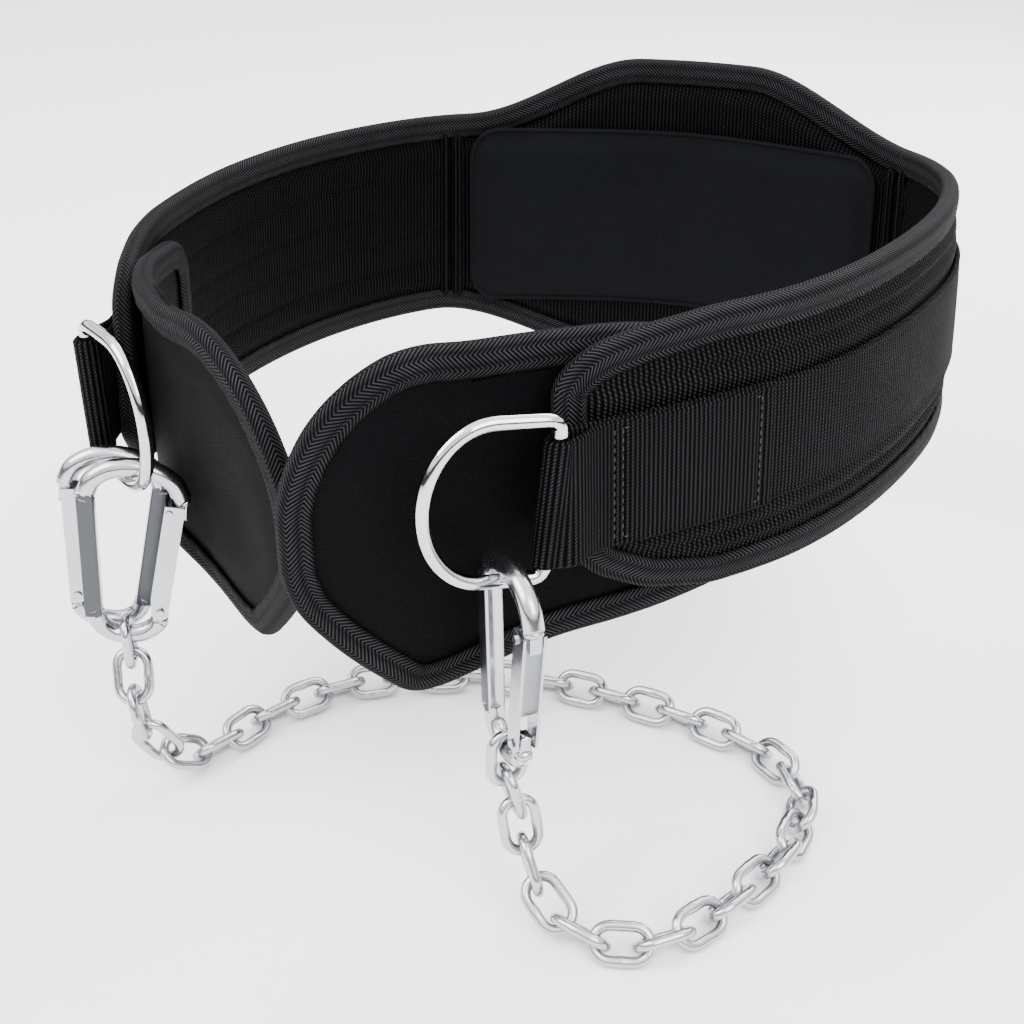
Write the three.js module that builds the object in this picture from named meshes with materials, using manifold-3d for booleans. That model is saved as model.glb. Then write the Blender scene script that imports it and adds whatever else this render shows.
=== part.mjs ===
// A dip belt: a padded waist band with two front flaps, a load strap that ends in a D-ring on each
// side, three carabiners and a steel chain that hangs between the rings.
// Millimetres, +Z up, +Y towards the wearer's back, -Y towards the front opening.
// The origin is the middle of the space that the waist fills, at half the height of the band.
import * as THREE from "three";
import { mergeVertices } from "three/addons/utils/BufferGeometryUtils.js";
import Module from "manifold-3d";

const wasm = await Module();
wasm.setup();

// Waist loop seen from above, measured to the middle of the band's wall
const HALF_WIDTH = 166;
const HALF_DEPTH = 202;
const WALL_FLARE = 4;

// Padded band
const BAND_HALF_HEIGHT = 56;
const BAND_CORE = 8;
const BAND_RIM = 4.4;
const BAND_GRID = 44;
const QUILT_LEVEL = 35;
const QUILT_DEPTH = 1.2;
const PAD_RAMP = 4;

// Lumbar section of the band, with its own pad on the inside
const LUMBAR_HALF_HEIGHT = 86;
const LUMBAR_WIDTH = 250;
const LUMBAR_CENTRE = 0.53;
const LUMBAR_EXTRA = 3;
const HUMP_SHIFT = 8;
const PAD_WIDTH = 236;
const PAD_HEIGHT = 98;
const PAD_THICK = 5;

// Edge binding, a folded tape that wraps each edge
const TAPE_WIDTH = 10;
const TAPE_THICK = 1.2;

// Front flaps
const FLAP_LENGTH = 219;
const FLAP_RISE = 59.5;
const FLAP_DROP = 79;
const FLAP_CORE = 4.4;
const FLAP_OVERLAP = 150;
const FLAP_EASE = 40;

// Load strap of 50 mm webbing
const WEBBING_WIDTH = 50;
const WEBBING_THICK = 2.4;
const STRAP_RETURN = 88;

// D-rings
const RING_WIRE = 5.6;
const RING_BAR = 62;
const RING_REACH = 48;
const RING_LEG = 24;
const RING_CORNER = 4;

// Carabiners
const CARABINER_LENGTH = 88;
const CARABINER_TOP = 38;
const CARABINER_FOOT = 27;
const CARABINER_ROD = 8;
const GATE_WIDTH = 9;
const GATE_INSIDE = 4.8;
const GATE_OUTSIDE = 3.4;
const GATE_WALL = 1.1;
const PIN = 2.4;
const RIVET_HEAD = 3.6;
const RIVET_RISE = 0.8;

// Chain
const CHAIN_PITCH = 18.4;
const CHAIN_WIRE = 4.5;
const CHAIN_INNER_WIDTH = 9;
const CHAIN_SLACK = 0.7;
const HANGING_LINKS = 6;

// Clearances between pieces
const GAP = 0.3;
const SOFT_GAP = 0.4;

const UP = new THREE.Vector3(0, 0, 1);
const RIGHT = 0;
const LEFT = 1;

// Fabric, webbing, tape, neoprene and metals
const finish = {
  ribbed_fabric: new THREE.MeshStandardMaterial({ color: 0x17181b, roughness: 0.9, metalness: 0 }),
  pad_fabric: new THREE.MeshStandardMaterial({ color: 0x15161a, roughness: 0.95, metalness: 0 }),
  binding_tape: new THREE.MeshStandardMaterial({ color: 0x1b1c1f, roughness: 0.85, metalness: 0 }),
  neoprene: new THREE.MeshStandardMaterial({ color: 0x0d0e11, roughness: 0.75, metalness: 0 }),
  webbing: new THREE.MeshStandardMaterial({ color: 0x1a1b1e, roughness: 0.8, metalness: 0 }),
  chrome: new THREE.MeshStandardMaterial({ color: 0xd8dade, roughness: 0.12, metalness: 1 }),
  aluminium: new THREE.MeshStandardMaterial({ color: 0xb9bcc1, roughness: 0.32, metalness: 1 }),
  zinc_steel: new THREE.MeshStandardMaterial({ color: 0xc9ccd0, roughness: 0.25, metalness: 1 }),
};

const belt = new THREE.Group();
belt.name = "dip_belt";

function addPiece(name, geometry, material, parent = belt) {
  const mesh = new THREE.Mesh(geometry, finish[material]);
  mesh.name = name;
  parent.add(mesh);
  return mesh;
}

const clamp01 = (value) => Math.min(1, Math.max(0, value));

function smooth(from, to, value) {
  const x = clamp01((value - from) / (to - from));
  return x * x * (3 - 2 * x);
}

// A row of sections, each a ring of points, joined into one closed body
function loft(rings, closed = false) {
  const sides = rings[0].length;
  const positions = rings.flat().flatMap((point) => [point.x, point.y, point.z]);
  const index = [];
  const spans = closed ? rings.length : rings.length - 1;
  for (let i = 0; i < spans; i += 1) {
    const a = i * sides;
    const b = ((i + 1) % rings.length) * sides;
    for (let j = 0; j < sides; j += 1) {
      const k = (j + 1) % sides;
      index.push(a + j, a + k, b + j, b + j, a + k, b + k);
    }
  }
  if (!closed) {
    const first = flatFace(rings[0]);
    const last = flatFace(rings[rings.length - 1]);
    const base = (rings.length - 1) * sides;
    for (const [p, q, r] of first) index.push(p, r, q);
    for (const [p, q, r] of last) index.push(base + p, base + q, base + r);
  }
  const geometry = new THREE.BufferGeometry();
  geometry.setAttribute("position", new THREE.Float32BufferAttribute(positions, 3));
  geometry.setIndex(index);
  return facingOut(geometry);
}

// Triangles that close a flat ring of points
function flatFace(ring) {
  const normal = new THREE.Vector3();
  ring.forEach((point, i) => {
    const next = ring[(i + 1) % ring.length];
    normal.add(new THREE.Vector3().crossVectors(point, next));
  });
  normal.normalize();
  const axis = ring[1].clone().sub(ring[0]).normalize();
  const across = new THREE.Vector3().crossVectors(normal, axis);
  const flat = ring.map((point) => new THREE.Vector2(point.dot(axis), point.dot(across)));
  return THREE.ShapeUtils.triangulateShape(flat, []);
}

// Turns a closed surface so that its faces point outwards
function facingOut(geometry) {
  const p = geometry.getAttribute("position");
  const index = geometry.getIndex().array;
  const [a, b, c] = [new THREE.Vector3(), new THREE.Vector3(), new THREE.Vector3()];
  let volume = 0;
  for (let i = 0; i < index.length; i += 3) {
    a.fromBufferAttribute(p, index[i]);
    b.fromBufferAttribute(p, index[i + 1]);
    c.fromBufferAttribute(p, index[i + 2]);
    volume += a.dot(b.cross(c));
  }
  if (volume < 0) {
    for (let i = 0; i < index.length; i += 3) {
      [index[i + 1], index[i + 2]] = [index[i + 2], index[i + 1]];
    }
  }
  geometry.computeVertexNormals();
  return geometry;
}

// A three.js geometry as a manifold-3d solid, and back
function solid(geometry) {
  const bare = geometry.clone();
  bare.deleteAttribute("normal");
  bare.deleteAttribute("uv");
  const merged = mergeVertices(bare, 1e-4);
  return new wasm.Manifold(
    new wasm.Mesh({
      numProp: 3,
      vertProperties: new Float32Array(merged.getAttribute("position").array),
      triVerts: new Uint32Array(merged.getIndex().array),
    }),
  );
}

function geometryOf(manifold) {
  const mesh = manifold.getMesh();
  const geometry = new THREE.BufferGeometry();
  geometry.setAttribute("position", new THREE.Float32BufferAttribute(mesh.vertProperties, 3));
  geometry.setIndex(new THREE.BufferAttribute(mesh.triVerts, 1));
  geometry.computeVertexNormals();
  return geometry;
}

// A wall that stands on a plan curve. s runs along the curve, z up, and out away from the waist.
// Before and after the curve it runs straight on. Its foot flares outwards by an angle, and it can
// sag below its level.
class Wall {
  constructor(points, flare, sag = () => 0) {
    this.curve = new THREE.CatmullRomCurve3(points, false, "centripetal");
    this.curve.arcLengthDivisions = 1500;
    this.length = this.curve.getLength();
    this.flare = flare;
    this.sag = sag;
  }

  frame(s) {
    const u = clamp01(s / this.length);
    const at = this.curve.getPointAt(u);
    const along = this.curve.getTangentAt(u);
    at.addScaledVector(along, s - u * this.length);
    const outward = new THREE.Vector3(along.y, -along.x, 0).normalize();
    return { at, along, outward };
  }

  point(s, z, out) {
    const { at, outward } = this.frame(s);
    const lean = Math.tan(THREE.MathUtils.degToRad(this.flare(s)));
    return at.addScaledVector(outward, out - z * lean).addScaledVector(UP, z - this.sag(s));
  }
}

// Plan of the band from the right ring to the left one, as shares of the half width and half depth
const BAND_PLAN = [
  { across: 0.428, back: -0.624 },
  { across: 0.652, back: -0.398 },
  { across: 0.827, back: -0.178 },
  { across: 0.945, back: 0.109 },
  { across: 1.0, back: 0.48 },
  { across: 0.944, back: 0.745 },
  { across: 0.777, back: 0.906 },
  { across: 0.458, back: 0.978 },
  { across: 0.057, back: 1.0 },
  { across: -0.363, back: 0.896 },
  { across: -0.692, back: 0.748 },
  { across: -0.903, back: 0.459 },
  { across: -0.982, back: 0.07 },
  { across: -0.9, back: -0.34 },
  { across: -0.756, back: -0.598 },
];

const bandWall = new Wall(
  BAND_PLAN.map((row) => new THREE.Vector3(row.across * HALF_WIDTH, row.back * HALF_DEPTH, 0)),
  () => WALL_FLARE,
);
const bandLength = bandWall.length;
const lumbarMiddle = LUMBAR_CENTRE * bandLength;

// Height of the band near its two ends, as shares of its half height, and the distance in millimetres
const END_TAPER = [
  { from_end: 0, top: 0.66, bottom: 0.42 },
  { from_end: 6, top: 0.79, bottom: 0.53 },
  { from_end: 16, top: 0.89, bottom: 0.7 },
  { from_end: 36, top: 0.96, bottom: 0.88 },
  { from_end: 66, top: 1, bottom: 1 },
];

function tableValue(table, key, x, column) {
  const last = table.length - 1;
  if (x <= table[0][key]) return table[0][column];
  if (x >= table[last][key]) return table[last][column];
  const i = table.findIndex((row) => row[key] >= x);
  const [low, high] = [table[i - 1], table[i]];
  return THREE.MathUtils.lerp(low[column], high[column], (x - low[key]) / (high[key] - low[key]));
}

// The top edge is highest a little to the right of the middle of the lumbar section
function bandEdge(s, column) {
  const middle = lumbarMiddle - (column === "top" ? HUMP_SHIFT : 0);
  const reach = Math.abs(s - middle) / (LUMBAR_WIDTH / 2);
  const bulge = 1 - smooth(0.25, column === "top" ? 1.0 : 1.12, reach);
  const half = THREE.MathUtils.lerp(BAND_HALF_HEIGHT, LUMBAR_HALF_HEIGHT, bulge);
  const fromEnd = Math.min(s, bandLength - s);
  const share = tableValue(END_TAPER, "from_end", fromEnd, column);
  return (column === "top" ? 1 : -1) * half * share;
}

// Stations along the band: an even grid, with extra rows where the ends taper
const tapeInset = TAPE_THICK + SOFT_GAP;
const padStart = TAPE_WIDTH + SOFT_GAP;
const endRows = [0, 6, padStart, 16, 26, 36];
const gridStep = bandLength / BAND_GRID;
const bandGrid = [];
for (let i = 0; i <= BAND_GRID; i += 1) bandGrid.push(i * gridStep);
const nearEnd = (s) => Math.min(s, bandLength - s) < endRows[endRows.length - 1] + gridStep / 3;
const outlineRows = [
  ...endRows,
  ...bandGrid.filter((s) => !nearEnd(s)),
  ...endRows.map((s) => bandLength - s).reverse(),
];

// Row i of a closed outline of { s, z } rows, moved inwards by depth on the outline's mitre
function insetRow(outline, i, depth) {
  const at = ({ s, z }) => new THREE.Vector2(s, z);
  const row = at(outline[i]);
  const before = row.clone().sub(at(outline[(i + outline.length - 1) % outline.length])).normalize();
  const after = at(outline[(i + 1) % outline.length]).sub(row).normalize();
  const middle = before.clone().add(after).normalize();
  const mitre = Math.min(2, 1 / middle.dot(before));
  const turn = Math.sign(THREE.ShapeUtils.area(outline.map(at)));
  return {
    s: row.x - middle.y * turn * depth * mitre,
    z: row.y + middle.x * turn * depth * mitre,
  };
}

// Folded tape round a closed outline on a wall. Its section is a U whose open side faces the middle
// of the panel: depth into the panel, and out from the panel's middle.
function tapeRound(wall, outline, coreThick) {
  const inner = coreThick / 2 + SOFT_GAP;
  const outer = inner + TAPE_THICK;
  const section = [
    { depth: TAPE_WIDTH, out: -outer },
    { depth: 0, out: -outer },
    { depth: 0, out: outer },
    { depth: TAPE_WIDTH, out: outer },
    { depth: TAPE_WIDTH, out: inner },
    { depth: TAPE_THICK, out: inner },
    { depth: TAPE_THICK, out: -inner },
    { depth: TAPE_WIDTH, out: -inner },
  ];
  const rings = outline.map((row, i) =>
    section.map(({ depth, out }) => {
      const { s, z } = insetRow(outline, i, depth);
      return wall.point(s, z, out);
    }),
  );
  return loft(rings, true);
}

// Outline of the band: its top edge from end to end, then its bottom edge back
const bandOutline = [
  ...outlineRows.map((s) => ({ s, z: bandEdge(s, "top") })),
  ...[...outlineRows].reverse().map((s) => ({ s, z: bandEdge(s, "bottom") })),
];

// Padded band: thin where the tape folds over its edge, full inside that, with a quilted channel
// above and below the strap and an extra layer inside the lumbar section
function bandSection(i) {
  const s = outlineRows[i];
  const fromEnd = Math.min(s, bandLength - s);
  const fill = smooth(padStart, padStart + 5, fromEnd);
  const rim = BAND_RIM / 2;
  const full = THREE.MathUtils.lerp(rim, BAND_CORE / 2, fill);
  const reach = Math.abs(s - lumbarMiddle) / (LUMBAR_WIDTH / 2);
  const inner = -full - LUMBAR_EXTRA * (1 - smooth(0.96, 1.03, reach)) * fill;
  const half = (row) => {
    const edge = insetRow(bandOutline, row, tapeInset);
    const rimRow = insetRow(bandOutline, row, padStart + PAD_RAMP);
    const sign = Math.sign(edge.z);
    const slope = sign * (rimRow.z - sign * PAD_RAMP);
    const quilt = Math.min(QUILT_LEVEL, slope - 3);
    const at = fill > 0 ? rimRow : edge;
    return [
      { s: edge.s, z: edge.z, front: rim, back: -rim },
      { s: at.s, z: fill > 0 ? rimRow.z : sign * (slope + PAD_RAMP), front: rim, back: -rim },
      { s: at.s, z: sign * slope, front: full, back: inner },
      { s: at.s, z: sign * quilt, front: full - QUILT_DEPTH * fill },
      { s: at.s, z: sign * (quilt - 5), front: full },
    ];
  };
  const top = half(i);
  const bottom = half(bandOutline.length - 1 - i).reverse();
  const rows = [...top, ...bottom];
  const back = rows.filter((row) => row.back !== undefined).reverse();
  return [
    ...rows.map((row) => bandWall.point(row.s, row.z, row.front)),
    ...back.map((row) => bandWall.point(row.s, row.z, row.back)),
  ];
}

addPiece("padded_band", loft(outlineRows.map((s, i) => bandSection(i))), "ribbed_fabric");
addPiece("band_binding", tapeRound(bandWall, bandOutline, BAND_RIM), "binding_tape");

// Lumbar pad, a panel with rounded corners on the inside of the lumbar section
const padFace = -BAND_CORE / 2 - LUMBAR_EXTRA - 2 * SOFT_GAP;
const PAD_CORNER = [
  { from_end: 0, height: 0.62 },
  { from_end: 4, height: 0.86 },
  { from_end: 14, height: 1 },
];
const padBegin = lumbarMiddle - PAD_WIDTH / 2;
const padEnds = PAD_CORNER.map((row) => row.from_end);
const padStations = [
  ...padEnds,
  ...bandGrid.map((s) => s - padBegin).filter((along) => along > 20 && along < PAD_WIDTH - 20),
  ...padEnds.map((fromEnd) => PAD_WIDTH - fromEnd).reverse(),
];
const padSection = (along) => {
  const fromEnd = Math.min(along, PAD_WIDTH - along);
  const half = (tableValue(PAD_CORNER, "from_end", fromEnd, "height") * PAD_HEIGHT) / 2;
  const crown = PAD_THICK * (0.5 + 0.5 * smooth(0, 14, fromEnd));
  const s = padBegin + along;
  return [
    bandWall.point(s, half, padFace),
    bandWall.point(s, -half, padFace),
    bandWall.point(s, -half, padFace - PAD_THICK * 0.5),
    bandWall.point(s, -half + 10, padFace - crown),
    bandWall.point(s, half - 10, padFace - crown),
    bandWall.point(s, half, padFace - PAD_THICK * 0.5),
  ];
};
addPiece("lumbar_pad", loft(padStations.map(padSection)), "pad_fabric");

// Flap outline, from its rear end inside the band to its rounded front, as shares of its length,
// of its rise above the middle and of its drop below it
const FLAP_OUTLINE = [
  { along: 0, rise: 0.25, drop: 0.2 },
  { along: 0.03, rise: 0.62, drop: 0.52 },
  { along: 0.1, rise: 0.75, drop: 0.68 },
  { along: 0.2, rise: 0.78, drop: 0.77 },
  { along: 0.3, rise: 0.82, drop: 0.81 },
  { along: 0.4, rise: 0.88, drop: 0.83 },
  { along: 0.5, rise: 0.91, drop: 0.86 },
  { along: 0.6, rise: 0.94, drop: 0.92 },
  { along: 0.68, rise: 0.97, drop: 0.97 },
  { along: 0.74, rise: 1.0, drop: 1.0 },
  { along: 0.79, rise: 0.99, drop: 0.99 },
  { along: 0.84, rise: 0.93, drop: 0.88 },
  { along: 0.89, rise: 0.82, drop: 0.74 },
  { along: 0.94, rise: 0.63, drop: 0.58 },
  { along: 0.98, rise: 0.36, drop: 0.42 },
  { along: 1, rise: 0.1, drop: 0.24 },
];

// Where each flap runs beyond the end of the band, as shares of its length: ahead of the ring and
// inwards from it
const FLAP_FRONT = [
  [
    { ahead: 0.04, inwards: 0.06 },
    { ahead: 0.168, inwards: 0.062 },
    { ahead: 0.336, inwards: 0.062 },
    { ahead: 0.449, inwards: 0.088 },
  ],
  [
    { ahead: 0, inwards: 0.062 },
    { ahead: 0.1, inwards: 0.128 },
    { ahead: 0.236, inwards: 0.225 },
    { ahead: 0.347, inwards: 0.312 },
    { ahead: 0.43, inwards: 0.382 },
  ],
];

// How each flap hangs at its front: its flare in degrees, and how far it sags. Its rear end, inside
// the band, starts at a share of the full length, up to where the outline is the same for both.
const FLAP_HANG = [
  { flare: 0, sag: 3, rear: 0 },
  { flare: -6, sag: 8, rear: 0.14 },
];
const FLAP_SAME = 0.4;

const flapOffset = BAND_CORE / 2 + 3 * SOFT_GAP + TAPE_THICK + FLAP_CORE / 2;

function flapWall(side) {
  const end = side === RIGHT ? 0 : bandLength;
  const towards = side === RIGHT ? 1 : -1;
  const points = [];
  [1, 0.8, 0.6, 0.4, 0.2].forEach((share) => {
    const s = end + towards * share * FLAP_OVERLAP;
    points.push(bandWall.point(s, 0, -flapOffset));
  });
  const { at, along, outward } = bandWall.frame(end);
  const ahead = along.clone().multiplyScalar(-towards);
  FLAP_FRONT[side].forEach((row) => {
    points.push(
      at
        .clone()
        .addScaledVector(ahead, row.ahead * FLAP_LENGTH)
        .addScaledVector(outward, -row.inwards * FLAP_LENGTH),
    );
  });
  const ordered = side === RIGHT ? points.reverse() : points;
  const wall = new Wall(ordered, () => 0);
  const inBand = (s) => (side === RIGHT ? wall.length - s : s);
  const front = (s) => smooth(FLAP_OVERLAP - FLAP_EASE, FLAP_OVERLAP + FLAP_EASE, inBand(s));
  wall.flare = (s) => THREE.MathUtils.lerp(WALL_FLARE, FLAP_HANG[side].flare, front(s));
  wall.sag = (s) => FLAP_HANG[side].sag * front(s);
  const { rear } = FLAP_HANG[side];
  wall.station = (along01) => {
    const share = Math.max(along01, rear + (along01 * (FLAP_SAME - rear)) / FLAP_SAME);
    const ahead = (1 - share) * FLAP_LENGTH;
    return side === RIGHT ? ahead : wall.length - ahead;
  };
  return wall;
}

function addFlap(side, name) {
  const wall = flapWall(side);
  const spread = (column) => (along01) => tableValue(FLAP_OUTLINE, "along", along01, column);
  const rise = (along01) => spread("rise")(along01) * FLAP_RISE;
  const drop = (along01) => -spread("drop")(along01) * FLAP_DROP;
  const outline = [];
  FLAP_OUTLINE.forEach((row) => {
    outline.push({ s: wall.station(row.along), z: rise(row.along) });
  });
  [...FLAP_OUTLINE].reverse().forEach((row) => {
    outline.push({ s: wall.station(row.along), z: drop(row.along) });
  });
  addPiece(`${name}_binding`, tapeRound(wall, outline, FLAP_CORE + 2 * SOFT_GAP), "binding_tape");
  const half = FLAP_CORE / 2;
  const rings = FLAP_OUTLINE.map((row, i) => {
    const top = insetRow(outline, i, tapeInset);
    const bottom = insetRow(outline, outline.length - 1 - i, tapeInset);
    return [
      wall.point(top.s, top.z, half),
      wall.point(bottom.s, bottom.z, half),
      wall.point(bottom.s, bottom.z, -half),
      wall.point(top.s, top.z, -half),
    ];
  });
  addPiece(name, loft(rings), "neoprene");
}

addFlap(RIGHT, "flap_right");
addFlap(LEFT, "flap_left");

// Where the strap and the bar of a ring lie off the band's middle, and how far the bar stands beyond
// the end of the band
const strapBase = BAND_CORE / 2 + SOFT_GAP + WEBBING_THICK / 2;
const strapTop = strapBase + WEBBING_THICK + GAP;
const loopRadius = RING_WIRE / 2 + GAP + WEBBING_THICK / 2;
const loopMiddle = strapBase + loopRadius + 3 * GAP;
const ringAhead = loopRadius + WEBBING_THICK / 2 + TAPE_THICK;

// A round wire swept along a flat loop of points; normal is the direction across the loop
function wireLoop(points, normal, radius, sides) {
  const rings = points.map((point, i) => {
    const before = points[(i + points.length - 1) % points.length];
    const after = points[(i + 1) % points.length];
    const along = after.clone().sub(before).normalize();
    const across = new THREE.Vector3().crossVectors(along, normal).normalize();
    const ring = [];
    for (let j = 0; j < sides; j += 1) {
      const angle = (2 * Math.PI * (j + 0.5)) / sides;
      ring.push(
        point
          .clone()
          .addScaledVector(across, radius * Math.cos(angle))
          .addScaledVector(normal, radius * Math.sin(angle)),
      );
    }
    return ring;
  });
  return loft(rings, true);
}

// D-ring in its own frame: the bar on X = 0, the bow towards +X, flat in the XZ plane
function ringGeometry() {
  const half = RING_BAR / 2;
  const path = new THREE.Path();
  path.moveTo(0, -half + RING_CORNER);
  path.lineTo(0, half - RING_CORNER);
  path.absarc(RING_CORNER, half - RING_CORNER, RING_CORNER, Math.PI, Math.PI / 2, true);
  path.lineTo(RING_LEG, half);
  path.absellipse(RING_LEG, 0, RING_REACH - RING_LEG, half, Math.PI / 2, -Math.PI / 2, true, 0);
  path.lineTo(RING_CORNER, -half);
  path.absarc(RING_CORNER, -half + RING_CORNER, RING_CORNER, -Math.PI / 2, -Math.PI, true);
  const points = path.getSpacedPoints(26).slice(0, -1);
  const flat = points.map((point) => new THREE.Vector3(point.x, 0, point.y));
  return wireLoop(flat, new THREE.Vector3(0, 1, 0), RING_WIRE / 2, 6);
}

// How each ring stands in its loop: swung towards the front opening, its bow lifted, in degrees, and
// the whole ring raised, in millimetres
const RING_POSE = [
  { name: "d_ring_right", swing: 6, lift: 6, raise: 0.8 },
  { name: "d_ring_left", swing: 38, lift: 0, raise: 0 },
];

const ringGroups = RING_POSE.map((pose, side) => {
  const end = side === RIGHT ? 0 : bandLength;
  const towards = side === RIGHT ? 1 : -1;
  const { along, outward } = bandWall.frame(end);
  const group = new THREE.Group();
  group.position.copy(bandWall.point(end - towards * ringAhead, 0, loopMiddle));
  group.position.z += pose.raise;
  const swing = THREE.MathUtils.degToRad(pose.swing);
  const ahead = along.clone().multiplyScalar(-towards * Math.cos(swing));
  const reach = ahead.addScaledVector(outward, -Math.sin(swing));
  const across = new THREE.Vector3().crossVectors(UP, reach).normalize();
  group.quaternion.setFromRotationMatrix(new THREE.Matrix4().makeBasis(reach, across, UP));
  group.rotateY(THREE.MathUtils.degToRad(-pose.lift));
  belt.add(group);
  addPiece(pose.name, ringGeometry(), "chrome", group);
  group.updateMatrixWorld(true);
  const bar = new THREE.Vector3(0, 0, 1).transformDirection(group.matrixWorld);
  return { group, across, bar };
});

// Load strap: one webbing along the outside of the band. At each end it turns round the bar of a
// D-ring, whose lean it takes up there, and comes back over itself.
function strapEnd() {
  const rows = [{ s: STRAP_RETURN, out: strapTop }];
  for (let s = STRAP_RETURN - gridStep; s > 20; s -= gridStep) rows.push({ s, out: strapTop });
  rows.push({ s: 14, out: strapTop + GAP });
  rows.push({ s: 1, out: loopMiddle + loopRadius * 0.9 });
  for (let angle = 75; angle <= 285; angle += 30) {
    const turn = THREE.MathUtils.degToRad(angle);
    rows.push({
      s: -ringAhead + loopRadius * Math.cos(turn),
      out: loopMiddle + loopRadius * Math.sin(turn),
    });
  }
  rows.push({ s: 6, out: strapBase + GAP });
  return rows;
}

function strapPoint(row, z) {
  const side = row.s < bandLength / 2 ? RIGHT : LEFT;
  const fromEnd = side === RIGHT ? row.s : bandLength - row.s;
  const middle = bandWall.point(row.s, 0, row.out);
  const lean = bandWall.point(row.s, 1, row.out).sub(middle);
  const bar = ringGroups[side].bar.clone();
  bar.divideScalar(bar.z);
  lean.lerp(bar, 1 - smooth(-6, 0, fromEnd));
  return middle.addScaledVector(lean, z);
}

const rightEnd = strapEnd();
const leftEnd = strapEnd()
  .map((row) => ({ s: bandLength - row.s, out: row.out }))
  .reverse();
const strapGrid = bandGrid.filter((s) => s > 16 && s < bandLength - 16);
const strapPath = [...rightEnd, ...strapGrid.map((s) => ({ s, out: strapBase })), ...leftEnd];
const strapRings = strapPath.map((row, i) => {
  const before = strapPath[Math.max(0, i - 1)];
  const after = strapPath[Math.min(strapPath.length - 1, i + 1)];
  const d = new THREE.Vector2(after.s - before.s, after.out - before.out).normalize();
  const half = WEBBING_THICK / 2;
  const face = (sign) => ({ s: row.s - sign * d.y * half, out: row.out + sign * d.x * half });
  const reach = WEBBING_WIDTH / 2;
  return [
    strapPoint(face(1), reach),
    strapPoint(face(1), -reach),
    strapPoint(face(-1), -reach),
    strapPoint(face(-1), reach),
  ];
});
addPiece("load_strap", loft(strapRings), "webbing");

// Carabiner in its own frame: X across with the spine at -X and the gate at +X, Y up along its
// length with the wide end at +Y, Z through its thickness. Rows are shares of the half width at the
// wide end and of the half length between rod centres; bar and tongue say how far the round rod
// turns into the ridged bar of the spine or the flat tongue inside the gate.
const CARABINER_PATH = [
  { across: 1.05, along: 0.46, bar: 0, tongue: 1 },
  { across: 1.05, along: 0.63, bar: 0, tongue: 1 },
  { across: 1.03, along: 0.69, bar: 0, tongue: 0 },
  { across: 0.9, along: 0.83, bar: 0, tongue: 0 },
  { across: 0.62, along: 0.94, bar: 0, tongue: 0 },
  { across: 0.25, along: 1, bar: 0, tongue: 0 },
  { across: -0.2, along: 1, bar: 0, tongue: 0 },
  { across: -0.6, along: 0.94, bar: 0, tongue: 0 },
  { across: -0.88, along: 0.82, bar: 0, tongue: 0 },
  { across: -0.99, along: 0.67, bar: 0, tongue: 0 },
  { across: -0.98, along: 0.62, bar: 1, tongue: 0 },
  { across: -0.75, along: -0.68, bar: 1, tongue: 0 },
  { across: -0.72, along: -0.73, bar: 0, tongue: 0 },
  { across: -0.61, along: -0.87, bar: 0, tongue: 0 },
  { across: -0.34, along: -0.98, bar: 0, tongue: 0 },
  { across: 0, along: -1.0, bar: 0, tongue: 0 },
  { across: 0.36, along: -0.97, bar: 0, tongue: 0 },
  { across: 0.61, along: -0.88, bar: 0, tongue: 0 },
  { across: 0.69, along: -0.82, bar: 0, tongue: 0 },
  { across: 0.7, along: -0.77, bar: 0, tongue: 1 },
  { across: 0.73, along: -0.58, bar: 0, tongue: 1 },
];

// Eight-sided sections of the rod, as shares of its radius: outwards from the frame and through it
const ROUND = [
  [1, 0],
  [0.71, 0.71],
  [0, 1],
  [-0.71, 0.71],
  [-1, 0],
  [-0.71, -0.71],
  [0, -1],
  [0.71, -0.71],
];
const RIDGED = [
  [1, 0],
  [0.86, 0.86],
  [0, 0.9],
  [-0.86, 0.86],
  [-1, 0],
  [-0.86, -0.86],
  [0, -0.9],
  [0.86, -0.86],
];
const FLAT = [
  [0.62, 0],
  [0.6, 0.55],
  [0, 0.55],
  [-0.6, 0.55],
  [-0.62, 0],
  [-0.6, -0.55],
  [0, -0.55],
  [0.6, -0.55],
];

const frameHalf = CARABINER_LENGTH / 2 - CARABINER_ROD / 2;
const topHalf = CARABINER_TOP / 2;
const pivot = new THREE.Vector2(CARABINER_FOOT / 2, -0.65 * frameHalf);
const noseOffset = 0.62 * (CARABINER_ROD / 2) - 1.3 + 1.0;
const latch = new THREE.Vector2(1.05 * topHalf - noseOffset, 0.54 * frameHalf);

function carabinerGeometry() {
  const rows = CARABINER_PATH.map(
    (row) => new THREE.Vector3(row.across * topHalf, row.along * frameHalf, 0),
  );
  const depth = new THREE.Vector3(0, 0, 1);
  const rings = rows.map((point, i) => {
    const before = rows[Math.max(0, i - 1)];
    const after = rows[Math.min(rows.length - 1, i + 1)];
    const along = after.clone().sub(before).normalize();
    const out = new THREE.Vector3().crossVectors(along, depth).normalize();
    const { bar, tongue } = CARABINER_PATH[i];
    return ROUND.map((corner, j) => {
      const mix = (k) =>
        corner[k] * (1 - bar - tongue) + RIDGED[j][k] * bar + FLAT[j][k] * tongue;
      const radius = CARABINER_ROD / 2;
      return point.clone().addScaledVector(out, mix(0) * radius).addScaledVector(depth, mix(1) * radius);
    });
  });
  const bore = pinGeometry(PIN / 2 + GAP, CARABINER_ROD * 2);
  bore.translate(pivot.x, pivot.y, 0);
  return geometryOf(solid(loft(rings)).subtract(solid(bore)));
}

// A pin along Z, centred on the origin
function pinGeometry(radius, length) {
  return new THREE.CylinderGeometry(radius, radius, length, 8).rotateX(Math.PI / 2);
}

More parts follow.
